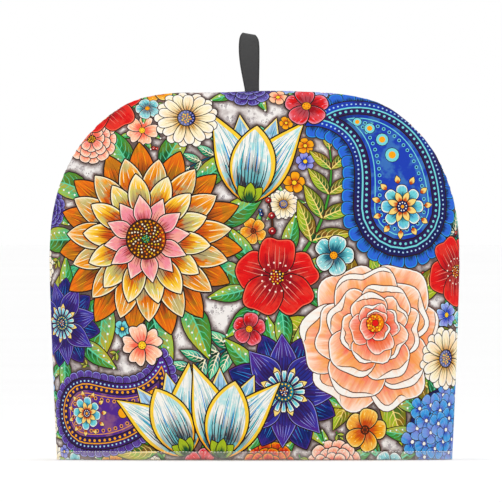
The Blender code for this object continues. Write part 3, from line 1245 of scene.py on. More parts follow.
def _smooth_through(rows: tuple[tuple[float, float], ...], steps: int) -> Array:
    """Points on a smooth curve through the rows, with the given number of steps between two rows."""
    table = np.array(rows, float)
    padded = np.vstack([2 * table[0] - table[1], table, 2 * table[-1] - table[-2]])
    found = []
    for first in range(len(table) - 1):
        p0, p1, p2, p3 = padded[first : first + 4]
        for step in range(steps):
            t = step / steps
            once = (p2 - p0) * t
            twice = (2 * p0 - 5 * p1 + 4 * p2 - p3) * t**2
            thrice = (3 * p1 - p0 - 3 * p2 + p3) * t**3
            found.append((2 * p1 + once + twice + thrice) / 2)
    found.append(table[-1])
    return np.array(found)


@dataclass
class FlatCloth:
    """A panel's printed cloth laid flat, in millimetres, and the way from it to the form.

    A place on the cloth is u to the right of its middle, seen on its printed side, and v up from the hem,
    both measured over the bulge. side is -1 for the front, which faces -Y, and 1 for the back.
    """

    side: int
    form: PanelForm = field(default_factory=PanelForm)
    edge_step: float = 2.2
    pucker_depth: float = 0.4
    pucker_reach: float = 5.0
    pucker_length: float = 15.0
    lump_depth: float = 0.5
    seam_clear: float = 6.0
    looseness: float = 0.28
    row_step: float = 3.0
    seam_insets: tuple[float, ...] = (0.35, 0.9, 1.8, 3.0, 4.5)
    hem_heights: tuple[float, ...] = (0.25, 0.6, 1.1, 1.7, 2.4, 3.4, 4.4, 5.2, 6.0, 6.8, 7.8, 9.2)

    def __post_init__(self) -> None:
        """Measures the bulge's length across and up."""
        form = self.form
        self._share = 1 - np.linspace(1, 0, 4001) ** 3
        self._across = self._length(form.across_power, form.bulge / form.half_width)
        self._up = self._length(form.upward_power, form.bulge / form.arch_height)
        self._arch_at = np.linspace(-1, 1, 2001)
        self._arch = form.arch(self._arch_at * -self.side)
        self.half = self._across[-1] * form.half_width / MM
        self.side_height = float(self._arch[-1] / MM)

    def _length(self, power: float, rise: float) -> Array:
        """Length of the bulge's section from its middle to each share."""
        depth = rise * (1 - self._share**power) ** self.form.bulge_power
        steps = np.hypot(np.diff(self._share), np.diff(depth))
        return np.r_[0, np.cumsum(steps)]

    def across(self, u: Array) -> Array:
        """Shares of the half width of places across the cloth."""
        reach = np.abs(u) * MM / self.form.half_width
        return np.sign(u) * np.interp(reach, self._across, self._share)

    def shares(self, u: Array, v: Array) -> tuple[Array, Array]:
        """Shares across and up of places on the cloth."""
        across = self.across(u)
        up = np.clip(v / self.top(u), 0, 1)
        bulging = self.form.share(across, np.zeros_like(up))
        bulged = np.interp(up * self._up[-1], self._up, self._share)
        return across, up + (bulged - up) * bulging

    def top(self, u: Array) -> Array:
        """Height of the cloth's upper edge at places across it."""
        across = self.across(u)
        bulging = self.form.share(across, np.zeros_like(across))
        return (1 + (self._up[-1] - 1) * bulging) * np.interp(across, self._arch_at, self._arch) / MM

    def edge(self) -> Array:
        """The outline of the cloth, anticlockwise from its lower left corner."""
        share = 1 - np.linspace(1, 0, 240) ** 2
        share = np.concatenate([-share[:0:-1], share])
        u = np.sign(share) * np.interp(np.abs(share), self._share, self._across) * self.form.half_width / MM
        arch = np.c_[u, self.top(u)][::-1]
        corners = np.array([[-self.half, 0.0], [self.half, 0.0]])
        sides = (corners, [corners[1], arch[0]], arch, [arch[-1], corners[0]])
        return np.vstack([along(np.array(line), self.edge_step, False)[0][:-1] for line in sides])

    def fill(self, step: float, chance: random.Random) -> Array:
        """Loose places all over the cloth, closer together along the seam and the hem."""
        rows, clear, loose = [np.zeros((0, 2))], self.seam_clear, self.looseness
        for v in np.arange(step * 2.6, self.top(np.zeros(1))[0], step):
            u = np.arange(-self.half + clear, self.half - clear, step)
            jitter = step * np.array([[chance.uniform(-loose, loose) for _ in range(2)] for _ in u])
            row = np.c_[u, np.full_like(u, v)] + jitter
            rows.append(row[row[:, 1] < self.top(row[:, 0]) - clear])
        for inset in self.seam_insets:
            side_v = np.arange(8, self.side_height, self.row_step)
            for sign in (-1, 1):
                rows.append(np.c_[np.full_like(side_v, sign * (self.half - inset)), side_v])
            top_u = np.arange(-self.half + 3, self.half - 3, self.row_step)
            rows.append(np.c_[top_u, self.top(top_u) - inset])
        for v in self.hem_heights:
            u = np.arange(-self.half + 1.5, self.half - 1.5, self.row_step)
            rows.append(np.c_[u, np.full_like(u, v)])
        return np.vstack(rows)

    def relief(self, u: Array, v: Array) -> Array:
        """How far the cloth stands out in metres: gathers beside the curved seam, and uneven padding."""
        to_seam = np.minimum(self.half - np.abs(u), np.maximum(self.top(u) - v, 0)) / self.pucker_reach
        angle = np.arctan2(v - 110, u)
        waves = self.half / self.pucker_length
        wave = np.sin(waves * angle + 1.6 * np.sin(7 * angle) + 0.9 * np.sin(17 * angle + 1))
        gathers = self.pucker_depth * wave * to_seam * np.exp(1 - to_seam) * np.clip((v - 60) / 80, 0, 1)
        lumps = np.sin(u / 23 + 0.8) * np.sin(v / 29 + 0.4) + 0.6 * np.sin(u / 13 - v / 17)
        across, upward = self.shares(u, v)
        padding = self.lump_depth * lumps * self.form.share(across, upward) * np.clip(v / 30, 0, 1)
        return (gathers + padding) * MM

    def lay(self, u: Array, v: Array, inner: bool = False) -> Array:
        """Places on the cloth, laid over the outer or inner face of the panel's form."""
        across, upward = self.shares(u, v)
        points = self.form.folded(-self.side * across, upward, inner)
        if not inner:
            points[:, 1] += self.relief(u, v)
        points[:, 1] *= self.side
        return points

    def normals(self, u: Array, v: Array, inner: bool = False) -> Array:
        """Directions square to the laid cloth, outwards from the wall."""
        step = 0.06
        u0, u1 = np.clip(u - step, -self.half, self.half), np.clip(u + step, -self.half, self.half)
        v0, v1 = np.clip(v - step, 0, self.top(u) - step), np.minimum(v + step, self.top(u))
        run_u = self.lay(u1, v, inner) - self.lay(u0, v, inner)
        run_v = self.lay(u, v1, inner) - self.lay(u, v0, inner)
        return unit(np.cross(run_u, run_v) * (-1 if inner else 1))


@dataclass
class CutPrint:
    """The artwork cut out of the flat cloth: triangles, the shape on top at each and the ring of the edge."""

    cloth: FlatCloth
    art: Artwork
    grid_step: float = 4.0
    ground_step: float = 1.7
    clear: float = 1.1
    flatness: float = 0.025
    joined: float = 0.012
    touching: float = 0.01
    tiny: float = 1e-6
    trusted: tuple[float, float] = (0.7, 1.4)
    slack: float = 0.6

    def __post_init__(self) -> None:
        """Cuts along what shows of each shape's outline."""
        edge = self.cloth.edge()
        loops = [edge, *self.art.outlines]
        starts = np.cumsum([0] + [len(loop) for loop in loops])
        faces = [list(range(start, start + len(loop))) for start, loop in zip(starts, loops)]
        places = [Vector(point) for point in np.vstack(loops)]
        found, _, triangles, _, _, owners = delaunay_2d_cdt(places, [], faces, 1, self.joined, True)
        spots = np.array([tuple(point) for point in found])
        tops = self.on_top(spots, np.array(triangles), owners, loops)
        lines = self.straightened(spots, *self.seen(triangles, tops))
        used, corners = np.unique(lines, return_inverse=True)
        fixed = [found[i] for i in used]
        tree = self.lines_tree(spots, lines)
        flat = BVHTree.FromPolygons([(*point, 0) for point in found], [tuple(face) for face in triangles])
        loose = np.vstack([self.cloth.fill(self.grid_step, random.Random(3)), self.bare(flat, tops)])
        loose = [Vector(point) for point in loose if tree.find((*point, 0))[2] > self.clear]
        pairs = corners.reshape(-1, 2).tolist()
        final, _, cut, _, _, _ = delaunay_2d_cdt(fixed + loose, pairs, [], 1, self.tiny, True)
        self.points = np.array([tuple(point) for point in final])
        self.triangles = np.array(cut)
        centres = self.points[self.triangles].mean(axis=1)
        hits = [flat.find_nearest((x, y, 0))[2] for x, y in centres]
        self.shapes = np.maximum(tops[hits], 0)
        self.ring = outer_ring(self.triangles)
        self.to_shape = np.array([tree.find((x, y, 0))[2] for x, y in self.points])

    def bare(self, flat: BVHTree, tops: Array) -> Array:
        """Places over the bare ground, close enough together for the shade beside the shapes."""
        across = np.arange(-self.cloth.half + 2, self.cloth.half - 2, self.ground_step)
        u, v = np.meshgrid(across, np.arange(2, self.cloth.top(np.zeros(1))[0], self.ground_step))
        places = np.c_[u.ravel(), v.ravel()]
        found = [flat.find_nearest((x, y, 0)) for x, y in places]
        return places[[hit[3] < self.touching and tops[hit[2]] == 0 for hit in found]]

    def lines_tree(self, spots: Array, lines: Array) -> KDTree:
        """A finder of the nearest place on the lines."""
        starts, runs = spots[lines[:, 0]], spots[lines[:, 1]] - spots[lines[:, 0]]
        counts = np.ceil(np.linalg.norm(runs, axis=1) / self.ground_step).astype(int) + 1
        share = np.concatenate([np.arange(count) / count for count in counts])[:, None]
        return finder(np.repeat(starts, counts, axis=0) + np.repeat(runs, counts, axis=0) * share)

    def on_top(self, spots: Array, triangles: Array, owners: list[list[int]], loops: list[Array]) -> Array:
        """The topmost shape at each triangle, or -1 outside the cloth.

        A shape that comes back with more or less than its own inside is laid again by its outline.

        Args:
            spots: The corners of the triangles.
            triangles: Three of them for each triangle.
            owners: The shapes that hold each triangle.
            loops: Outlines of the cloth and of the shapes.

        Returns:
            A shape for each triangle.
        """
        counts = np.array([len(owner) for owner in owners])
        flat = np.array([shape for owner in owners for shape in owner])
        areas = _area(spots[triangles].transpose(1, 0, 2))
        covered = np.bincount(flat, np.repeat(areas, counts), len(loops))
        drawn = np.array([_area(loop) for loop in loops])
        least, most = self.trusted
        wrong = np.flatnonzero((covered > most * drawn + self.slack) | (covered < least * drawn))
        flat[np.isin(flat, wrong)] = -1
        starts = np.r_[0, np.cumsum(counts)[:-1]]
        tops = np.maximum.reduceat(np.append(flat, -1), np.minimum(starts, len(flat)))
        middles = spots[triangles].mean(axis=1)
        for shape in wrong:
            low, high = loops[shape].min(axis=0), loops[shape].max(axis=0)
            near = np.flatnonzero(((middles > low) & (middles < high)).all(axis=1))
            held = near[within(loops[shape], *middles[near].T)]
            tops[held] = np.maximum(tops[held], shape)
        inside = np.array([0 in owner for owner in owners])
        return np.where(inside & (counts > 0), tops, -1)

    def seen(self, triangles: list, tops: Array) -> tuple[Array, Array]:
        """The lines between triangles with another shape on top, and those along the cloth's edge."""
        corners = np.array(triangles)
        pairs = np.sort(np.vstack([corners[:, [0, 1]], corners[:, [1, 2]], corners[:, [2, 0]]]), axis=1)
        order = np.lexsort((pairs[:, 1], pairs[:, 0]))
        pairs, top = pairs[order], np.tile(tops, 3)[order]
        twin = (pairs[1:] == pairs[:-1]).all(axis=1)
        first, second = top[:-1][twin], top[1:][twin]
        shared = pairs[:-1][twin]
        inner = shared[(first != second) & (first >= 0) & (second >= 0)]
        alone = np.ones(len(pairs), bool)
        alone[:-1][twin] = False
        alone[1:][twin] = False
        border = shared[(first != second) & ((first < 0) | (second < 0))]
        return inner, np.vstack([border, pairs[alone & (top >= 0)]])

    def straightened(self, places: Array, inner: Array, outer: Array) -> Array:
        """Drops the needless corners of the inner lines, and keeps all of the cloth's edge."""
        beside: dict[int, set[int]] = {}
        for a, b in inner.tolist():
            beside.setdefault(a, set()).add(b)
            beside.setdefault(b, set()).add(a)
        kept = set(outer.ravel().tolist())
        for corner in list(beside):
            ends = beside[corner]
            if len(ends) != 2 or corner in kept:
                continue
            a, b = ends
            run, off = places[b] - places[a], places[corner] - places[a]
            length = math.hypot(*run)
            if length < self.tiny or b in beside[a]:
                continue
            if abs(run[0] * off[1] - run[1] * off[0]) / length < self.flatness:
                beside[a].remove(corner)
                beside[b].remove(corner)
                beside[a].add(b)
                beside[b].add(a)
                del beside[corner]
        lines = [(a, b) for a, ends in beside.items() for b in ends if a < b]
        return np.vstack([np.array(lines), outer])


def _area(corners: Array) -> Array:
    """The area within corners, whose first axis runs round the outline."""
    after = np.roll(corners, -1, axis=0)
    return np.abs((corners[..., 0] * after[..., 1] - corners[..., 1] * after[..., 0]).sum(axis=0)) / 2


def outer_ring(triangles: Array) -> Array:
    """The corners along the mesh's open edge, in order."""
    edges = {(a, b) for corners in triangles.tolist() for a, b in zip(corners, corners[1:] + corners[:1])}
    after = {a: b for a, b in edges if (b, a) not in edges}
    ring = [min(after)]
    while len(ring) < len(after):
        ring.append(after[ring[-1]])
    return np.array(ring)


# Materials


class Kind(Enum):
    """Kinds of node, each with the settings that make it."""

    PLUS = "ShaderNodeMath", {"operation": "ADD"}
    MINUS = "ShaderNodeMath", {"operation": "SUBTRACT"}
    TIMES = "ShaderNodeMath", {"operation": "MULTIPLY"}
    TIMES_PLUS = "ShaderNodeMath", {"operation": "MULTIPLY_ADD"}
    SINE = "ShaderNodeMath", {"operation": "SINE"}
    SIZE = "ShaderNodeMath", {"operation": "ABSOLUTE"}
    STRETCH = "ShaderNodeVectorMath", {"operation": "MULTIPLY"}
    RISE = "ShaderNodeMapRange", {"interpolation_type": "SMOOTHSTEP"}
    MIX = "ShaderNodeMix", {"data_type": "RGBA"}
    NOISE = "ShaderNodeTexNoise", {}
    CELLS = "ShaderNodeTexVoronoi", {"distance": "CHEBYCHEV", "voronoi_dimensions": "2D"}
    SPECKS = "ShaderNodeTexVoronoi", {"voronoi_dimensions": "2D"}
    SPLIT = "ShaderNodeSeparateXYZ", {}
    JOIN = "ShaderNodeCombineXYZ", {}
    BUMP = "ShaderNodeBump", {}
    WRITTEN = "ShaderNodeAttribute", {}
    PLACE = "ShaderNodeTexCoord", {}
    START = "NodeGroupInput", {}
    END = "NodeGroupOutput", {}
    BALL = "GeometryNodeMeshUVSphere", {}
    SCALED = "GeometryNodeTransform", {}
    NAMED = "GeometryNodeInputNamedAttribute", {"data_type": "FLOAT_VECTOR"}
    TURNED = "FunctionNodeAxesToRotation", {"primary_axis": "X", "secondary_axis": "Z"}
    SET_ON = "GeometryNodeInstanceOnPoints", {}
    REALIZED = "GeometryNodeRealizeInstances", {}
    SMOOTHED = "GeometryNodeSetShadeSmooth", {}
    DRESSED = "GeometryNodeSetMaterial", {}


(
    PLUS, MINUS, TIMES, TIMES_PLUS, SINE, SIZE, STRETCH, RISE, MIX, NOISE, CELLS, SPECKS, SPLIT, JOIN, BUMP,
    WRITTEN, PLACE, START, END, BALL, SCALED, NAMED, TURNED, SET_ON, REALIZED, SMOOTHED, DRESSED,
) = Kind


def add(tree: NodeTree, kind: Kind, *inputs: object, reads: str = "", **named: object) -> Node:
    """Adds a node.

    Args:
        tree: The node tree.
        kind: The kind of node.
        *inputs: What its first inputs get, in order: a node, a node's output or a value.
        reads: The attribute that the node reads.
        **named: What other inputs get, by name with _ for a space.

    Returns:
        The node.
    """
    type_name, settings = kind.value
    node = tree.nodes.new(type_name)
    for name, value in settings.items():
        setattr(node, name, value)
    if reads:
        node.attribute_name = reads
    for socket, value in zip(node.inputs, inputs):
        feed(tree, socket, value)
    feed_all(tree, node, **named)
    return node


def feed_all(tree: NodeTree, node: Node, **named: object) -> None:
    """Gives a node's inputs what they get, by name with _ for a space."""
    for name, value in named.items():
        feed(tree, next(s for s in node.inputs if s.name == name.replace("_", " ") and s.enabled), value)


def feed(tree: NodeTree, socket: NodeSocket, value: object) -> None:
    """Gives an input a node's first output, an output or a value."""
    if isinstance(value, Node):
        value = next(output for output in value.outputs if output.enabled)
    if isinstance(value, NodeSocket):
        tree.links.new(value, socket)
    else:
        socket.default_value = value


def rgba(hex_colour: str) -> tuple[float, float, float, float]:
    """A colour for a socket."""
    return (*linear(hex_colour), 1.0)


@dataclass(frozen=True)
class Finish:
    """A finish with its name and how rough it is."""

    name: str
    roughness: float

    def start(self, name: str = "") -> tuple[Material, NodeTree, Node]:
        """A new material, its tree and its shader."""
        material = bpy.data.materials.new(name or self.name)
        material.use_nodes = True
        tree = material.node_tree
        shader = tree.nodes["Principled BSDF"]
        shader.inputs["Roughness"].default_value = self.roughness
        return material, tree, shader


@dataclass(frozen=True)
class PrintedCotton(Finish):
    """Screen-printed plain-weave cotton: matt, with a fine weave and slubs, paler below the hem stitches, and
    with painted light along the turned-under bottom fold.
    """

    name: str = "printed_cotton"
    roughness: float = 0.85
    thread_spacing: float = 0.55
    faded_height: float = 0.0062
    fade: float = 0.34
    side_lift: float = 0.3
    glow_reach: float = 0.18

    def weave(self, tree: NodeTree, place: NodeSocket) -> Node:
        """Height of the weave and the slubs over the flat cloth, in millimetres."""
        parts = add(tree, SPLIT, Vector=place)
        waves = []
        for place_along in parts.outputs[:2]:
            turned = add(tree, TIMES, place_along, FULL_TURN / self.thread_spacing)
            waves.append(add(tree, SINE, turned))
        cross = add(tree, TIMES, *waves)
        slubs = add(tree, NOISE, Vector=place, Scale=0.7, Detail=3.0, Roughness=0.6)
        return add(tree, TIMES_PLUS, slubs, 2.2, cross)

    def finished(self, tree: NodeTree, shader: Node, place: NodeSocket, colour: Node) -> None:
        """Fades the colour below the hem stitches, paints light onto the bottom millimetre to lift the shade
        of the turned-under fold, and gives the cloth its weave.
        """
        height = add(tree, SPLIT, Vector=add(tree, PLACE).outputs["Object"]).outputs["Z"]
        above, below = self.faded_height + 0.0003, self.faded_height - 0.0005
        low = add(tree, RISE, height, above, below, To_Max=self.fade)
        patchy = add(tree, NOISE, Vector=place, Scale=0.25, Detail=3.0)
        # Painted light: the bottom millimetre is mixed towards pale cloth, to brighten the shade of the
        # turned-under hem fold.
        painted_fold_light = add(tree, RISE, height, 0.001, 0.0002, To_Max=0.35)
        fade_and_painted_light = add(tree, TIMES_PLUS, low, patchy, painted_fold_light)
        faded_and_painted_light = add(tree, MIX, Factor=fade_and_painted_light, A=colour, B=rgba("#ebe3dc"))
        bump = add(tree, BUMP, Strength=0.25, Distance=0.00012, Height=self.weave(tree, place))
        feed_all(tree, shader, Base_Color=faded_and_painted_light, Normal=bump)
        feed_all(tree, shader, Sheen_Weight=0.03, Sheen_Roughness=0.5, Specular_IOR_Level=0.15)

    def paint(self) -> Material:
        """The painted shapes: the base runs to the tip and sides in brush strokes, streaks and washes."""
        material, tree, shader = self.start()
        place = add(tree, WRITTEN, reads="cloth_place").outputs["Vector"]
        paints = [add(tree, WRITTEN, reads=name) for name in INK_NAMES]
        base, tip, streak, accent, glow = (paint.outputs["Color"] for paint in paints)
        turn, soft, streaks, wash, edge = (paint.outputs["Alpha"] for paint in paints)
        stroke = add(tree, WRITTEN, reads="stroke").outputs["Vector"]
        along_it, across_it, seed = add(tree, SPLIT, Vector=stroke).outputs
        slow = add(tree, TIMES, along_it, 0.9)
        quick = add(tree, TIMES, across_it, 4.0)
        brush = add(tree, JOIN, X=slow, Y=quick, Z=seed)
        marks = add(tree, NOISE, Vector=brush, Scale=1.5, Detail=4.0, Roughness=0.65)
        bowed = add(tree, TIMES, across_it, across_it)
        lifted = add(tree, TIMES_PLUS, bowed, self.side_lift, along_it)
        ragged = add(tree, TIMES_PLUS, marks, 0.9, lifted)
        reach = add(tree, MINUS, ragged, 0.45)
        half = add(tree, TIMES, soft, 0.5)
        start, stop = add(tree, MINUS, turn, half), add(tree, PLUS, turn, half)
        layers = [(add(tree, RISE, reach, start, stop), tip)]
        fine = add(tree, STRETCH, brush, (1.0, 2.6, 1.3))
        lines = add(tree, NOISE, Vector=fine, Scale=1.7, Detail=2.0)
        line = add(tree, RISE, lines, 0.48, 0.66)
        layers.append((add(tree, TIMES, line, streaks), streak))
        clouds = add(tree, NOISE, Vector=place, Scale=0.075, Detail=3.0, Roughness=0.6)
        cloud = add(tree, RISE, clouds, 0.46, 0.6)
        layers.append((add(tree, TIMES, cloud, wash), accent))
        low, high = (add(tree, kind, edge, self.glow_reach) for kind in (MINUS, PLUS))
        layers.append((add(tree, RISE, reach, low, high), glow))
        colour = base
        for share, paint in layers:
            colour = add(tree, MIX, Factor=share, A=colour, B=paint)
        self.finished(tree, shader, place, colour)
        return material

    def ground(self) -> Material:
        """The bare ground: mottled warm grey, pale glows, leafy marks, specks and brown beside shapes."""
        material, tree, shader = self.start(f"{self.name}_ground")
        place = add(tree, WRITTEN, reads="cloth_place").outputs["Vector"]
        near = add(tree, WRITTEN, reads="shape_distance").outputs["Fac"]
        mottle = add(tree, NOISE, Vector=place, Scale=0.055, Detail=6.0, Roughness=0.65, Distortion=0.4)
        clear = add(tree, RISE, near, 0.6, 4.0, To_Max=0.2)
        light = add(tree, PLUS, mottle, clear)
        fine = add(tree, NOISE, Vector=place, Scale=0.16, Detail=2.0)
        colour = rgba("#8f827e")
        for low, high, dye in ((0.34, 0.5, "#b8adaa"), (0.52, 0.74, "#ece7e3")):
            share = add(tree, RISE, light, low, high)
            colour = add(tree, MIX, Factor=share, A=colour, B=rgba(dye))
        patch = add(tree, RISE, fine, 0.48, 0.58, To_Max=0.7)
        for stretch, reach, dye in (((0.34, 0.15, 1), 0.42, "#a1979a"), ((0.55, 0.55, 1), 0.24, "#5b5150")):
            spread = add(tree, STRETCH, place, stretch)
            dots = add(tree, SPECKS, Vector=spread, Scale=1.0).outputs["Distance"]
            dot = add(tree, RISE, dots, reach, reach - 0.07)
            printed = add(tree, TIMES, dot, patch)
            colour = add(tree, MIX, Factor=printed, A=colour, B=rgba(dye))
        wavering = add(tree, TIMES, add(tree, NOISE, Vector=place, Scale=0.2), 4.6)
        dark = add(tree, RISE, near, 0.0, wavering, To_Min=0.85, To_Max=0.0)
        reddened = add(tree, RISE, mottle, 0.5, 0.62)
        shade = add(tree, MIX, Factor=reddened, A=rgba(UMBER.value), B=rgba("#6d372c"))
        colour = add(tree, MIX, Factor=dark, A=colour, B=shade)
        self.finished(tree, shader, place, colour)
        return material


@dataclass(frozen=True)
class LiningCotton(Finish):
    """Plain off-white cotton: matt, with a visible plain weave."""

    name: str = "lining_cotton"
    roughness: float = 0.9
    thread_spacing: float = 0.7

    def material(self) -> Material:
        """The finish of the inside."""
        material, tree, shader = self.start()
        place = add(tree, WRITTEN, reads="cloth_place").outputs["Vector"]
        mottle = add(tree, NOISE, Vector=place, Scale=0.4, Detail=4.0, Roughness=0.6)
        colour = add(tree, MIX, Factor=mottle, A=rgba("#ded8cc"), B=rgba("#f3efe6"))
        weave = add(tree, CELLS, Vector=place, Scale=1 / self.thread_spacing, Randomness=0.15)
        bump = add(tree, BUMP, Strength=0.4, Distance=0.0002, Height=weave)
        feed_all(tree, shader, Base_Color=colour, Normal=bump)
        return material


@dataclass(frozen=True)
class DarkTape(Finish):
    """Charcoal polyester twill tape: matt, with close slanting ribs, painted shade in the grooves between
    them, and darker, denser selvedges.
    """

    name: str = "dark_tape"
    roughness: float = 0.75
    rib_spacing: float = 0.9

    def material(self) -> Material:
        """The finish of the hanging loop."""
        material, tree, shader = self.start()
        place = add(tree, WRITTEN, reads="tape_place").outputs["Vector"]
        parts = add(tree, SPLIT, Vector=place).outputs
        zigzag = add(tree, SIZE, parts["X"])
        slant = add(tree, PLUS, zigzag, parts["Y"])
        turned = add(tree, TIMES, slant, FULL_TURN / self.rib_spacing)
        ribs = add(tree, SINE, turned)
        fibres = add(tree, NOISE, Vector=place, Scale=2.5, Detail=4.0, Roughness=0.7)
        tone = add(tree, RISE, fibres, 0.3, 0.7)
        colour = add(tree, MIX, Factor=tone, A=rgba("#343434"), B=rgba("#494949"))
        # Painted shade: the grooves between the ribs are darkened.
        rib_groove_shade = add(tree, RISE, ribs, -1.0, 0.2, To_Min=0.3, To_Max=0.0)
        edge = add(tree, RISE, add(tree, SIZE, parts["Z"]), 0.78, 0.9, To_Max=0.6)
        for share in (rib_groove_shade, edge):
            colour = add(tree, MIX, Factor=share, A=colour, B=rgba("#1d1d1d"))
        bump = add(tree, BUMP, Strength=0.5, Distance=0.0002, Height=ribs)
        feed_all(tree, shader, Base_Color=colour, Normal=bump)
        return material


@dataclass(frozen=True)
class WhiteThread(Finish):
    """White cotton sewing thread: matt, with a slight twist."""

    name: str = "white_thread"
    roughness: float = 0.75

    def material(self) -> Material:
        """The finish of the stitches."""
        material, tree, shader = self.start()
        twist = add(tree, NOISE, Vector=add(tree, PLACE).outputs["Object"], Scale=1800.0)
        feed_all(tree, shader, Base_Color=add(tree, MIX, Factor=twist, A=rgba("#d6d2ca"), B=rgba("#fffefa")))
        return material


# Pieces


def new_piece(name: str, points: Array, faces: list, materials: list[Material]) -> Object:
    """An object at the origin with its place in its mesh."""
    mesh = bpy.data.meshes.new(name)
    mesh.from_pydata(points.tolist(), [], faces)
    for material in materials:
        mesh.materials.append(material)
    piece = bpy.data.objects.new(name, mesh)
    bpy.context.scene.collection.objects.link(piece)
    return piece


def write(mesh: Mesh, name: str, kind: str, domain: str, rows: Array) -> None:
    """Writes values on a mesh, for its materials and nodes to read."""
    key = {"FLOAT": "value", "FLOAT_COLOR": "color", "FLOAT_VECTOR": "vector"}[kind]
    mesh.attributes.new(name, kind, domain).data.foreach_set(key, np.asarray(rows, np.float32).ravel())


@dataclass
class PaddedPanel:
    """A padded panel: printed outer cloth, the seam's edge and plain inner cloth, as one closed mesh."""

    name: str
    node: str
    cut: CutPrint
    inner_step: float = 7.0
    seam_wave: float = 0.0006
    far_from_shapes: float = 20.0
    print_map: tuple[float, tuple[float, float]] = (0.98, (0.01, 0.01))
    inner_map: tuple[float, tuple[float, float]] = (0.13, (0.01, 0.865))

    def inner_cut(self) -> tuple[Array, Array]:
        """The inner cloth, cut to the same edge: its places and its triangles."""
        ring = self.cut.points[self.cut.ring]
        loose = self.cut.cloth.fill(self.inner_step, random.Random(5))
        places = [Vector(point) for point in np.vstack([ring, loose])]
        face = [list(range(len(ring)))]
        found, _, triangles, _, _, _ = delaunay_2d_cdt(places, [], face, 1, self.cut.tiny, True)
        return np.array([tuple(point) for point in found]), np.array(triangles)

    def build(self, materials: list[Material]) -> Object:
        """Makes the panel's mesh and object.

        Args:
            materials: The finishes of the painted shapes, the ground and the inner cloth.

        Returns:
            The piece.
        """
        cut, cloth, ring = self.cut, self.cut.cloth, self.cut.ring
        flat, at_hem = cut.points, cut.points[ring, 1] < 1e-4
        inner_flat, inner_triangles = self.inner_cut()
        outer = cloth.lay(flat[:, 0], flat[:, 1])
        inner = cloth.lay(inner_flat[:, 0], inner_flat[:, 1], True)
        middle = (outer[ring] + inner[: len(ring)]) / 2
        middle[:, 1] += self.seam_wave * ~at_hem
        points = np.vstack([outer, inner, middle])
        places = np.vstack([flat, inner_flat, flat[ring]])
        lower = np.arange(len(ring)) + len(outer)
        between = np.arange(len(ring)) + len(outer) + len(inner)
        lower[at_hem] = between[at_hem] = ring[at_hem]
        number = np.arange(len(inner)) + len(outer)
        number[: len(ring)] = lower
        rim = []
        for first, second in ((ring, between), (between, lower)):
            for i in range(len(ring)):
                j = (i + 1) % len(ring)
                corners = list(dict.fromkeys((first[i], second[i], second[j], first[j])))
                if len(corners) > 2:
                    rim.append(corners)
        faces = [*cut.triangles.tolist(), *number[inner_triangles][:, ::-1].tolist(), *rim]
        piece = new_piece(self.name, points, faces, materials)
        mesh = piece.data
        kinds = [np.where(cut.shapes > 0, 0, 1), np.full(len(inner_triangles), 2), np.full(len(rim), 2)]
        mesh.polygons.foreach_set("material_index", np.concatenate(kinds).astype(np.int32))
        self.dress(mesh, places)
        normals = [cloth.normals(*flat.T), cloth.normals(*inner_flat.T, True), np.zeros((len(ring), 3))]
        curved = np.arange(len(faces)) < len(faces) - len(rim)
        mesh.polygons.foreach_set("use_smooth", curved)
        mesh.normals_split_custom_set_from_vertices(np.vstack(normals).tolist())
        work = bmesh.new()
        work.from_mesh(mesh)
        bmesh.ops.delete(work, geom=[vert for vert in work.verts if not vert.link_faces], context="VERTS")
        work.to_mesh(mesh)
        work.free()
        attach(piece, "root")
        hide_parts(self.node)
        return piece

    def dress(self, mesh: Mesh, places: Array) -> None:
        """Writes what the materials read: the place on the cloth, the paint and the way it runs."""
        write(mesh, "cloth_place", "FLOAT_VECTOR", "POINT", np.pad(places, ((0, 0), (0, 1))))
        away = np.full(len(mesh.vertices) - len(self.cut.points), self.far_from_shapes)
        write(mesh, "shape_distance", "FLOAT", "POINT", np.concatenate([self.cut.to_shape, away]))
        count = len(self.cut.triangles)
        inks = np.zeros((len(mesh.polygons), 4 * len(INK_NAMES)), np.float32)
        painted = self.cut.shapes > 0
        inks[:count][painted] = np.array(self.cut.art.inks, np.float32)[self.cut.shapes[painted] - 1]
        for i, name in enumerate(INK_NAMES):
            write(mesh, name, "FLOAT_COLOR", "FACE", inks[:, 4 * i : 4 * i + 4])
        loops = np.zeros(len(mesh.loops), np.int32)
        mesh.loops.foreach_get("vertex_index", loops)
        totals = np.zeros(len(mesh.polygons), np.int32)
        mesh.polygons.foreach_get("loop_total", totals)
        face_of = np.repeat(np.arange(len(mesh.polygons)), totals)
        grains = np.zeros((len(mesh.polygons), 8))
        grains[:count][painted] = np.array(self.cut.art.grains)[self.cut.shapes[painted] - 1]
        grain, place = grains[face_of], places[loops]
        along_it = grain[:, 0] * place[:, 0] + grain[:, 1] * place[:, 1] + grain[:, 2]
        across_it = grain[:, 3] * place[:, 0] + grain[:, 4] * place[:, 1] + grain[:, 5]
        across_it -= grain[:, 6] * along_it**2
        write(mesh, "stroke", "FLOAT_VECTOR", "CORNER", np.c_[along_it, across_it, grain[:, 7]])
        self.map(mesh, places, loops, face_of, count)

    def map(self, mesh: Mesh, places: Array, loops: Array, face_of: Array, printed: int) -> None:
        """Lays the flat cloth out as the mesh's map: the print large, the inner cloth small above it."""
        half = self.cut.cloth.half
        spots = ((places + (half, 0)) / (2 * half))[loops]
        big, small = (spots * size + corner for size, corner in (self.print_map, self.inner_map))
        chosen = np.where((face_of < printed)[:, None], big, small).astype(np.float32)
        layer = mesh.uv_layers.new(name=BAKE_MAP)
        layer.data.foreach_set("uv", chosen.ravel())


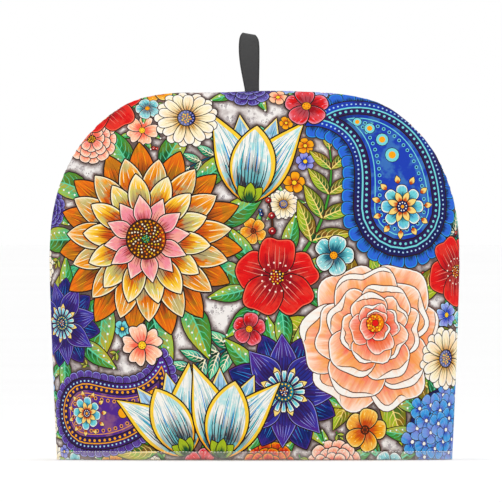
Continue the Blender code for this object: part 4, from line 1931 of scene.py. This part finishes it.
@dataclass
class HemStitching:
    """The rows of white lock stitches that hold the hems of the panels, outside and inside."""

    cloths: tuple[FlatCloth, ...]
    height: float = 6.0
    pitch: float = 2.4
    stitch: float = 1.7
    thread: float = 0.42
    end: float = 2.2
    proud: float = 0.12

    @property
    def sizes(self) -> dict[str, float]:
        """The sizes that the geometry nodes take, in metres."""
        return {"Stitch length": self.stitch * MM, "Thread width": self.thread * MM}

    def build(self, name: str, material: Material) -> Object:
        """Sets one stitch on each place along both hems by geometry nodes.

        Args:
            name: The piece's name.
            material: The thread's finish.

        Returns:
            The piece.
        """
        places, runs, outs = self.places()
        seed = new_piece(name, places, [], [])
        for label, rows in (("run", runs), ("out", outs)):
            write(seed.data, label, "FLOAT_VECTOR", "POINT", rows)
        tree = self.tree(material)
        modifier = seed.modifiers.new("stitches", "NODES")
        modifier.node_group = tree
        for item in tree.interface.items_tree:
            if item.name in self.sizes:
                modifier[item.identifier] = self.sizes[item.name]
        depsgraph = bpy.context.evaluated_depsgraph_get()
        mesh = bpy.data.meshes.new_from_object(seed.evaluated_get(depsgraph))
        mesh.name = name
        seed.modifiers.clear()
        seed.data = mesh
        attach(seed, "root")
        return seed

    def places(self) -> tuple[Array, Array, Array]:
        """Middles of the stitches, the way each runs and the way out of the cloth."""
        found = []
        for cloth in self.cloths:
            u = np.arange(-cloth.half + self.end, cloth.half - self.end, self.pitch)
            v = self.height + 0.12 * np.sin(u * 0.31) + 0.08 * np.sin(u * 1.7)
            for inner in (False, True):
                run = cloth.lay(u + 0.4, v, inner) - cloth.lay(u - 0.4, v, inner)
                out = cloth.normals(u, v, inner)
                found.append((cloth.lay(u, v, inner) + out * self.thread * MM * self.proud, run, out))
        return tuple(np.vstack([part[i] for part in found]) for i in range(3))

    def tree(self, material: Material) -> NodeTree:
        """Geometry nodes that set a rounded stitch on each point, turned to lie along the hem."""
        tree = bpy.data.node_groups.new("hem_stitches", "GeometryNodeTree")
        tree.interface.new_socket("Geometry", in_out="INPUT", socket_type="NodeSocketGeometry")
        for name in self.sizes:
            tree.interface.new_socket(name, in_out="INPUT", socket_type="NodeSocketFloat")
        tree.interface.new_socket("Geometry", in_out="OUTPUT", socket_type="NodeSocketGeometry")
        start = add(tree, START)
        ball = add(tree, BALL, Segments=8, Rings=6, Radius=0.5)
        thread = start.outputs["Thread width"]
        sizes = add(tree, JOIN, X=start.outputs["Stitch length"], Y=thread, Z=thread)
        stitch = add(tree, SCALED, Geometry=ball, Scale=sizes)
        run, out = (add(tree, NAMED, Name=name) for name in ("run", "out"))
        turned = add(tree, TURNED, run, out)
        placed_on = add(tree, SET_ON, Points=start.outputs["Geometry"], Instance=stitch, Rotation=turned)
        smooth = add(tree, SMOOTHED, Geometry=add(tree, REALIZED, Geometry=placed_on))
        add(tree, END, Geometry=add(tree, DRESSED, Geometry=smooth, Material=material))
        return tree


@dataclass
class TapeLoop:
    """The hanging loop: a folded tape with rounded selvedges, in the form of the part's loop, in metres."""

    arch_height: float = 0.270
    thickness: float = 0.0013
    foot: float = 0.006
    tape_width: float = 0.0152
    seen_length: float = 0.083
    sections: tuple[tuple[float, float, float, float, float], ...] = (
        (-0.0060, 0.00085, -0.0019, 0.0106, 0),
        (0.0000, 0.00085, -0.0019, 0.0106, 0),
        (0.0045, 0.0011, -0.0023, 0.0113, 0),
        (0.011, 0.0024, -0.0029, 0.0127, 1),
        (0.0185, 0.0041, -0.0035, 0.0142, 2),
        (0.026, 0.0051, -0.0039, 0.0151, 3),
        (0.0325, 0.005, -0.0040, 0.0152, 4),
        (0.0375, 0.0039, -0.0040, 0.0142, 6),
        (0.0402, 0.0021, -0.0041, 0.0118, 8),
        (0.0411, 0.00000, -0.0041, 0.0098, 10),
    )
    steps: int = 8
    columns: int = 18
    selvedge: float = 0.0009

    def build(self, material: Material) -> Object:
        """Sweeps the tape's section up the front leg, over the fold and down the back leg."""
        front = _smooth_through(self.sections, self.steps)
        back = front[-2::-1].copy()
        front[:, 1] *= -1
        rows = np.vstack([front, back])
        line = np.c_[rows[:, 1], self.arch_height + rows[:, 0]]
        run, reach = unit(np.gradient(line, axis=0)), travelled(line)
        points, places = [], []
        for row, (y, z), (run_y, run_z), far in zip(rows, line, run, reach):
            _, _, middle, width, roll = row
            level, tip = math.cos(math.radians(roll)), -math.sin(math.radians(roll))
            for across, outward in self.section(width):
                height = z + outward * run_y + across * tip
                points.append((middle + across * level, y - outward * run_z, height))
                places.append((across / MM, far / MM, 2 * across / width))
        ring = 2 * self.columns
        faces = []
        for r in range(len(rows) - 1):
            for c in range(ring):
                d = (c + 1) % ring
                faces.append((r * ring + c, r * ring + d, (r + 1) * ring + d, (r + 1) * ring + c))
        faces.append(tuple(reversed(range(ring))))
        faces.append(tuple(range((len(rows) - 1) * ring, len(rows) * ring)))
        piece = new_piece("loop_tape", np.array(points), faces, [material])
        mesh = piece.data
        write(mesh, "tape_place", "FLOAT_VECTOR", "POINT", places)
        work = bmesh.new()
        work.from_mesh(mesh)
        bmesh.ops.recalc_face_normals(work, faces=work.faces)
        work.to_mesh(mesh)
        work.free()
        mesh.shade_smooth()
        mesh.set_sharp_from_angle(angle=math.radians(60))
        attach(piece, "root")
        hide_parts("hanging_loop")
        return piece

    def section(self, width: float) -> list[tuple[float, float]]:
        """Points round the tape's section: flat faces with a thicker round edge at each side."""
        half, thick = width / 2, self.thickness / 2
        across = np.linspace(-1, 1, self.columns)
        across = np.sign(across) * np.abs(across) ** 0.7
        from_edge = (1 - np.abs(across)) * half
        bead = np.exp(-(((from_edge - self.selvedge * 0.55) / (self.selvedge * 0.45)) ** 2))
        round_off = np.sqrt(np.clip(1 - np.clip(1 - from_edge / (self.selvedge * 0.5), 0, 1) ** 2, 0, 1))
        out = thick * (0.80 + 0.20 * bead) * (0.25 + 0.75 * round_off)
        lower = [(a * half, -o) for a, o in zip(across, out)]
        upper = [(a * half, o) for a, o in zip(across[::-1], out[::-1])]
        return lower + upper


# The studio


@dataclass(frozen=True)
class Studio:
    """A white floor, soft even light and a camera straight in front, as for a catalogue picture."""

    view_height: float = 0.1526
    view_across: float = -0.0026
    view_width: float = 0.3673
    distance: float = 4.0
    elevation: float = 0.5
    floor_radius: float = 18.0
    floor_gap: float = 0.0002

    def build(self) -> None:
        """Makes the floor, the lights, the world and the camera."""
        self.floor()
        self.world()
        self.lamp("top_softbox", (0.5, -0.9, 3.0), 2.6, 14)
        self.lamp("left_softbox", (-2.6, -1.2, 2.2), 1.8, 5)
        self.camera()

    def floor(self) -> None:
        """A wide white floor."""
        finish = Finish("studio_floor", 0.9)
        material, tree, shader = finish.start()
        grain = add(tree, NOISE, Vector=add(tree, PLACE).outputs["Object"], Scale=3.0)
        feed_all(tree, shader, Base_Color=add(tree, MIX, Factor=grain, A=rgba("#fbfbfb"), B=rgba("#ffffff")))
        sides = 48
        rim = circle(np.arange(sides) * FULL_TURN / sides) * self.floor_radius
        ring = np.c_[rim, np.full(sides, -self.floor_gap)]
        floor = new_piece("floor", ring, [tuple(range(sides))], [material])

    def world(self) -> None:
        """An even white surrounding."""
        world = bpy.data.worlds.new("white_studio")
        world.use_nodes = True
        background = world.node_tree.nodes["Background"]
        background.inputs["Color"].default_value = (1, 1, 1, 1)
        background.inputs["Strength"].default_value = 1.0
        bpy.context.scene.world = world

    def lamp(self, name: str, place: tuple[float, float, float], size: float, power: float) -> None:
        """A square soft light that faces the cosy."""
        light = bpy.data.lights.new(name, "AREA")
        light.shape = "SQUARE"
        light.size = size
        light.energy = power
        lamp = bpy.data.objects.new(name, light)
        lamp.location = place
        lamp.rotation_euler = (Vector((0, 0, 0.14)) - Vector(place)).to_track_quat("-Z", "Y").to_euler()
        bpy.context.scene.collection.objects.link(lamp)

    def camera(self) -> None:
        """A camera without perspective, level with the cosy's middle but for half a degree."""
        data = bpy.data.cameras.new("front_camera")
        data.type = "ORTHO"
        data.ortho_scale = self.view_width
        data.clip_end = 60
        camera = bpy.data.objects.new("front_camera", data)
        tilt = math.radians(self.elevation)
        camera.location = (
            self.view_across,
            -self.distance * math.cos(tilt),
            self.view_height + self.distance * math.sin(tilt),
        )
        camera.rotation_euler = (math.pi / 2 - tilt, 0, 0)
        bpy.context.scene.collection.objects.link(camera)
        bpy.context.scene.camera = camera
        bpy.context.scene.view_settings.view_transform = "Standard"


def main() -> None:
    """Builds the cosy's looks in order."""
    logging.basicConfig(level=logging.INFO, format="%(name)s: %(message)s")
    Studio().build()
    cotton = PrintedCotton()
    materials = [cotton.paint(), cotton.ground(), LiningCotton().material()]
    cloths, pieces = [], []
    for name, node, side, shift in (
        ("front_cloth", "front_panel", -1, (0.0, 0.0)),
        ("back_cloth", "back_panel", 1, (178.0, 128.0)),
    ):
        cloth = FlatCloth(side)
        art = FlowerPrint(shift).drawn(cloth)
        cut = CutPrint(cloth, art)
        piece = PaddedPanel(name, node, cut).build(materials)
        log.info("%s has %d painted shapes", name, len(art.outlines))
        cloths.append(cloth)
        pieces.append(piece)
    pieces.append(HemStitching(tuple(cloths)).build("hem_stitches", WhiteThread().material()))
    pieces.append(TapeLoop().build(DarkTape().material()))
    for piece in pieces:
        log.info("%s has %d faces", piece.name, len(piece.data.polygons))


if __name__ == "__main__":
    main()
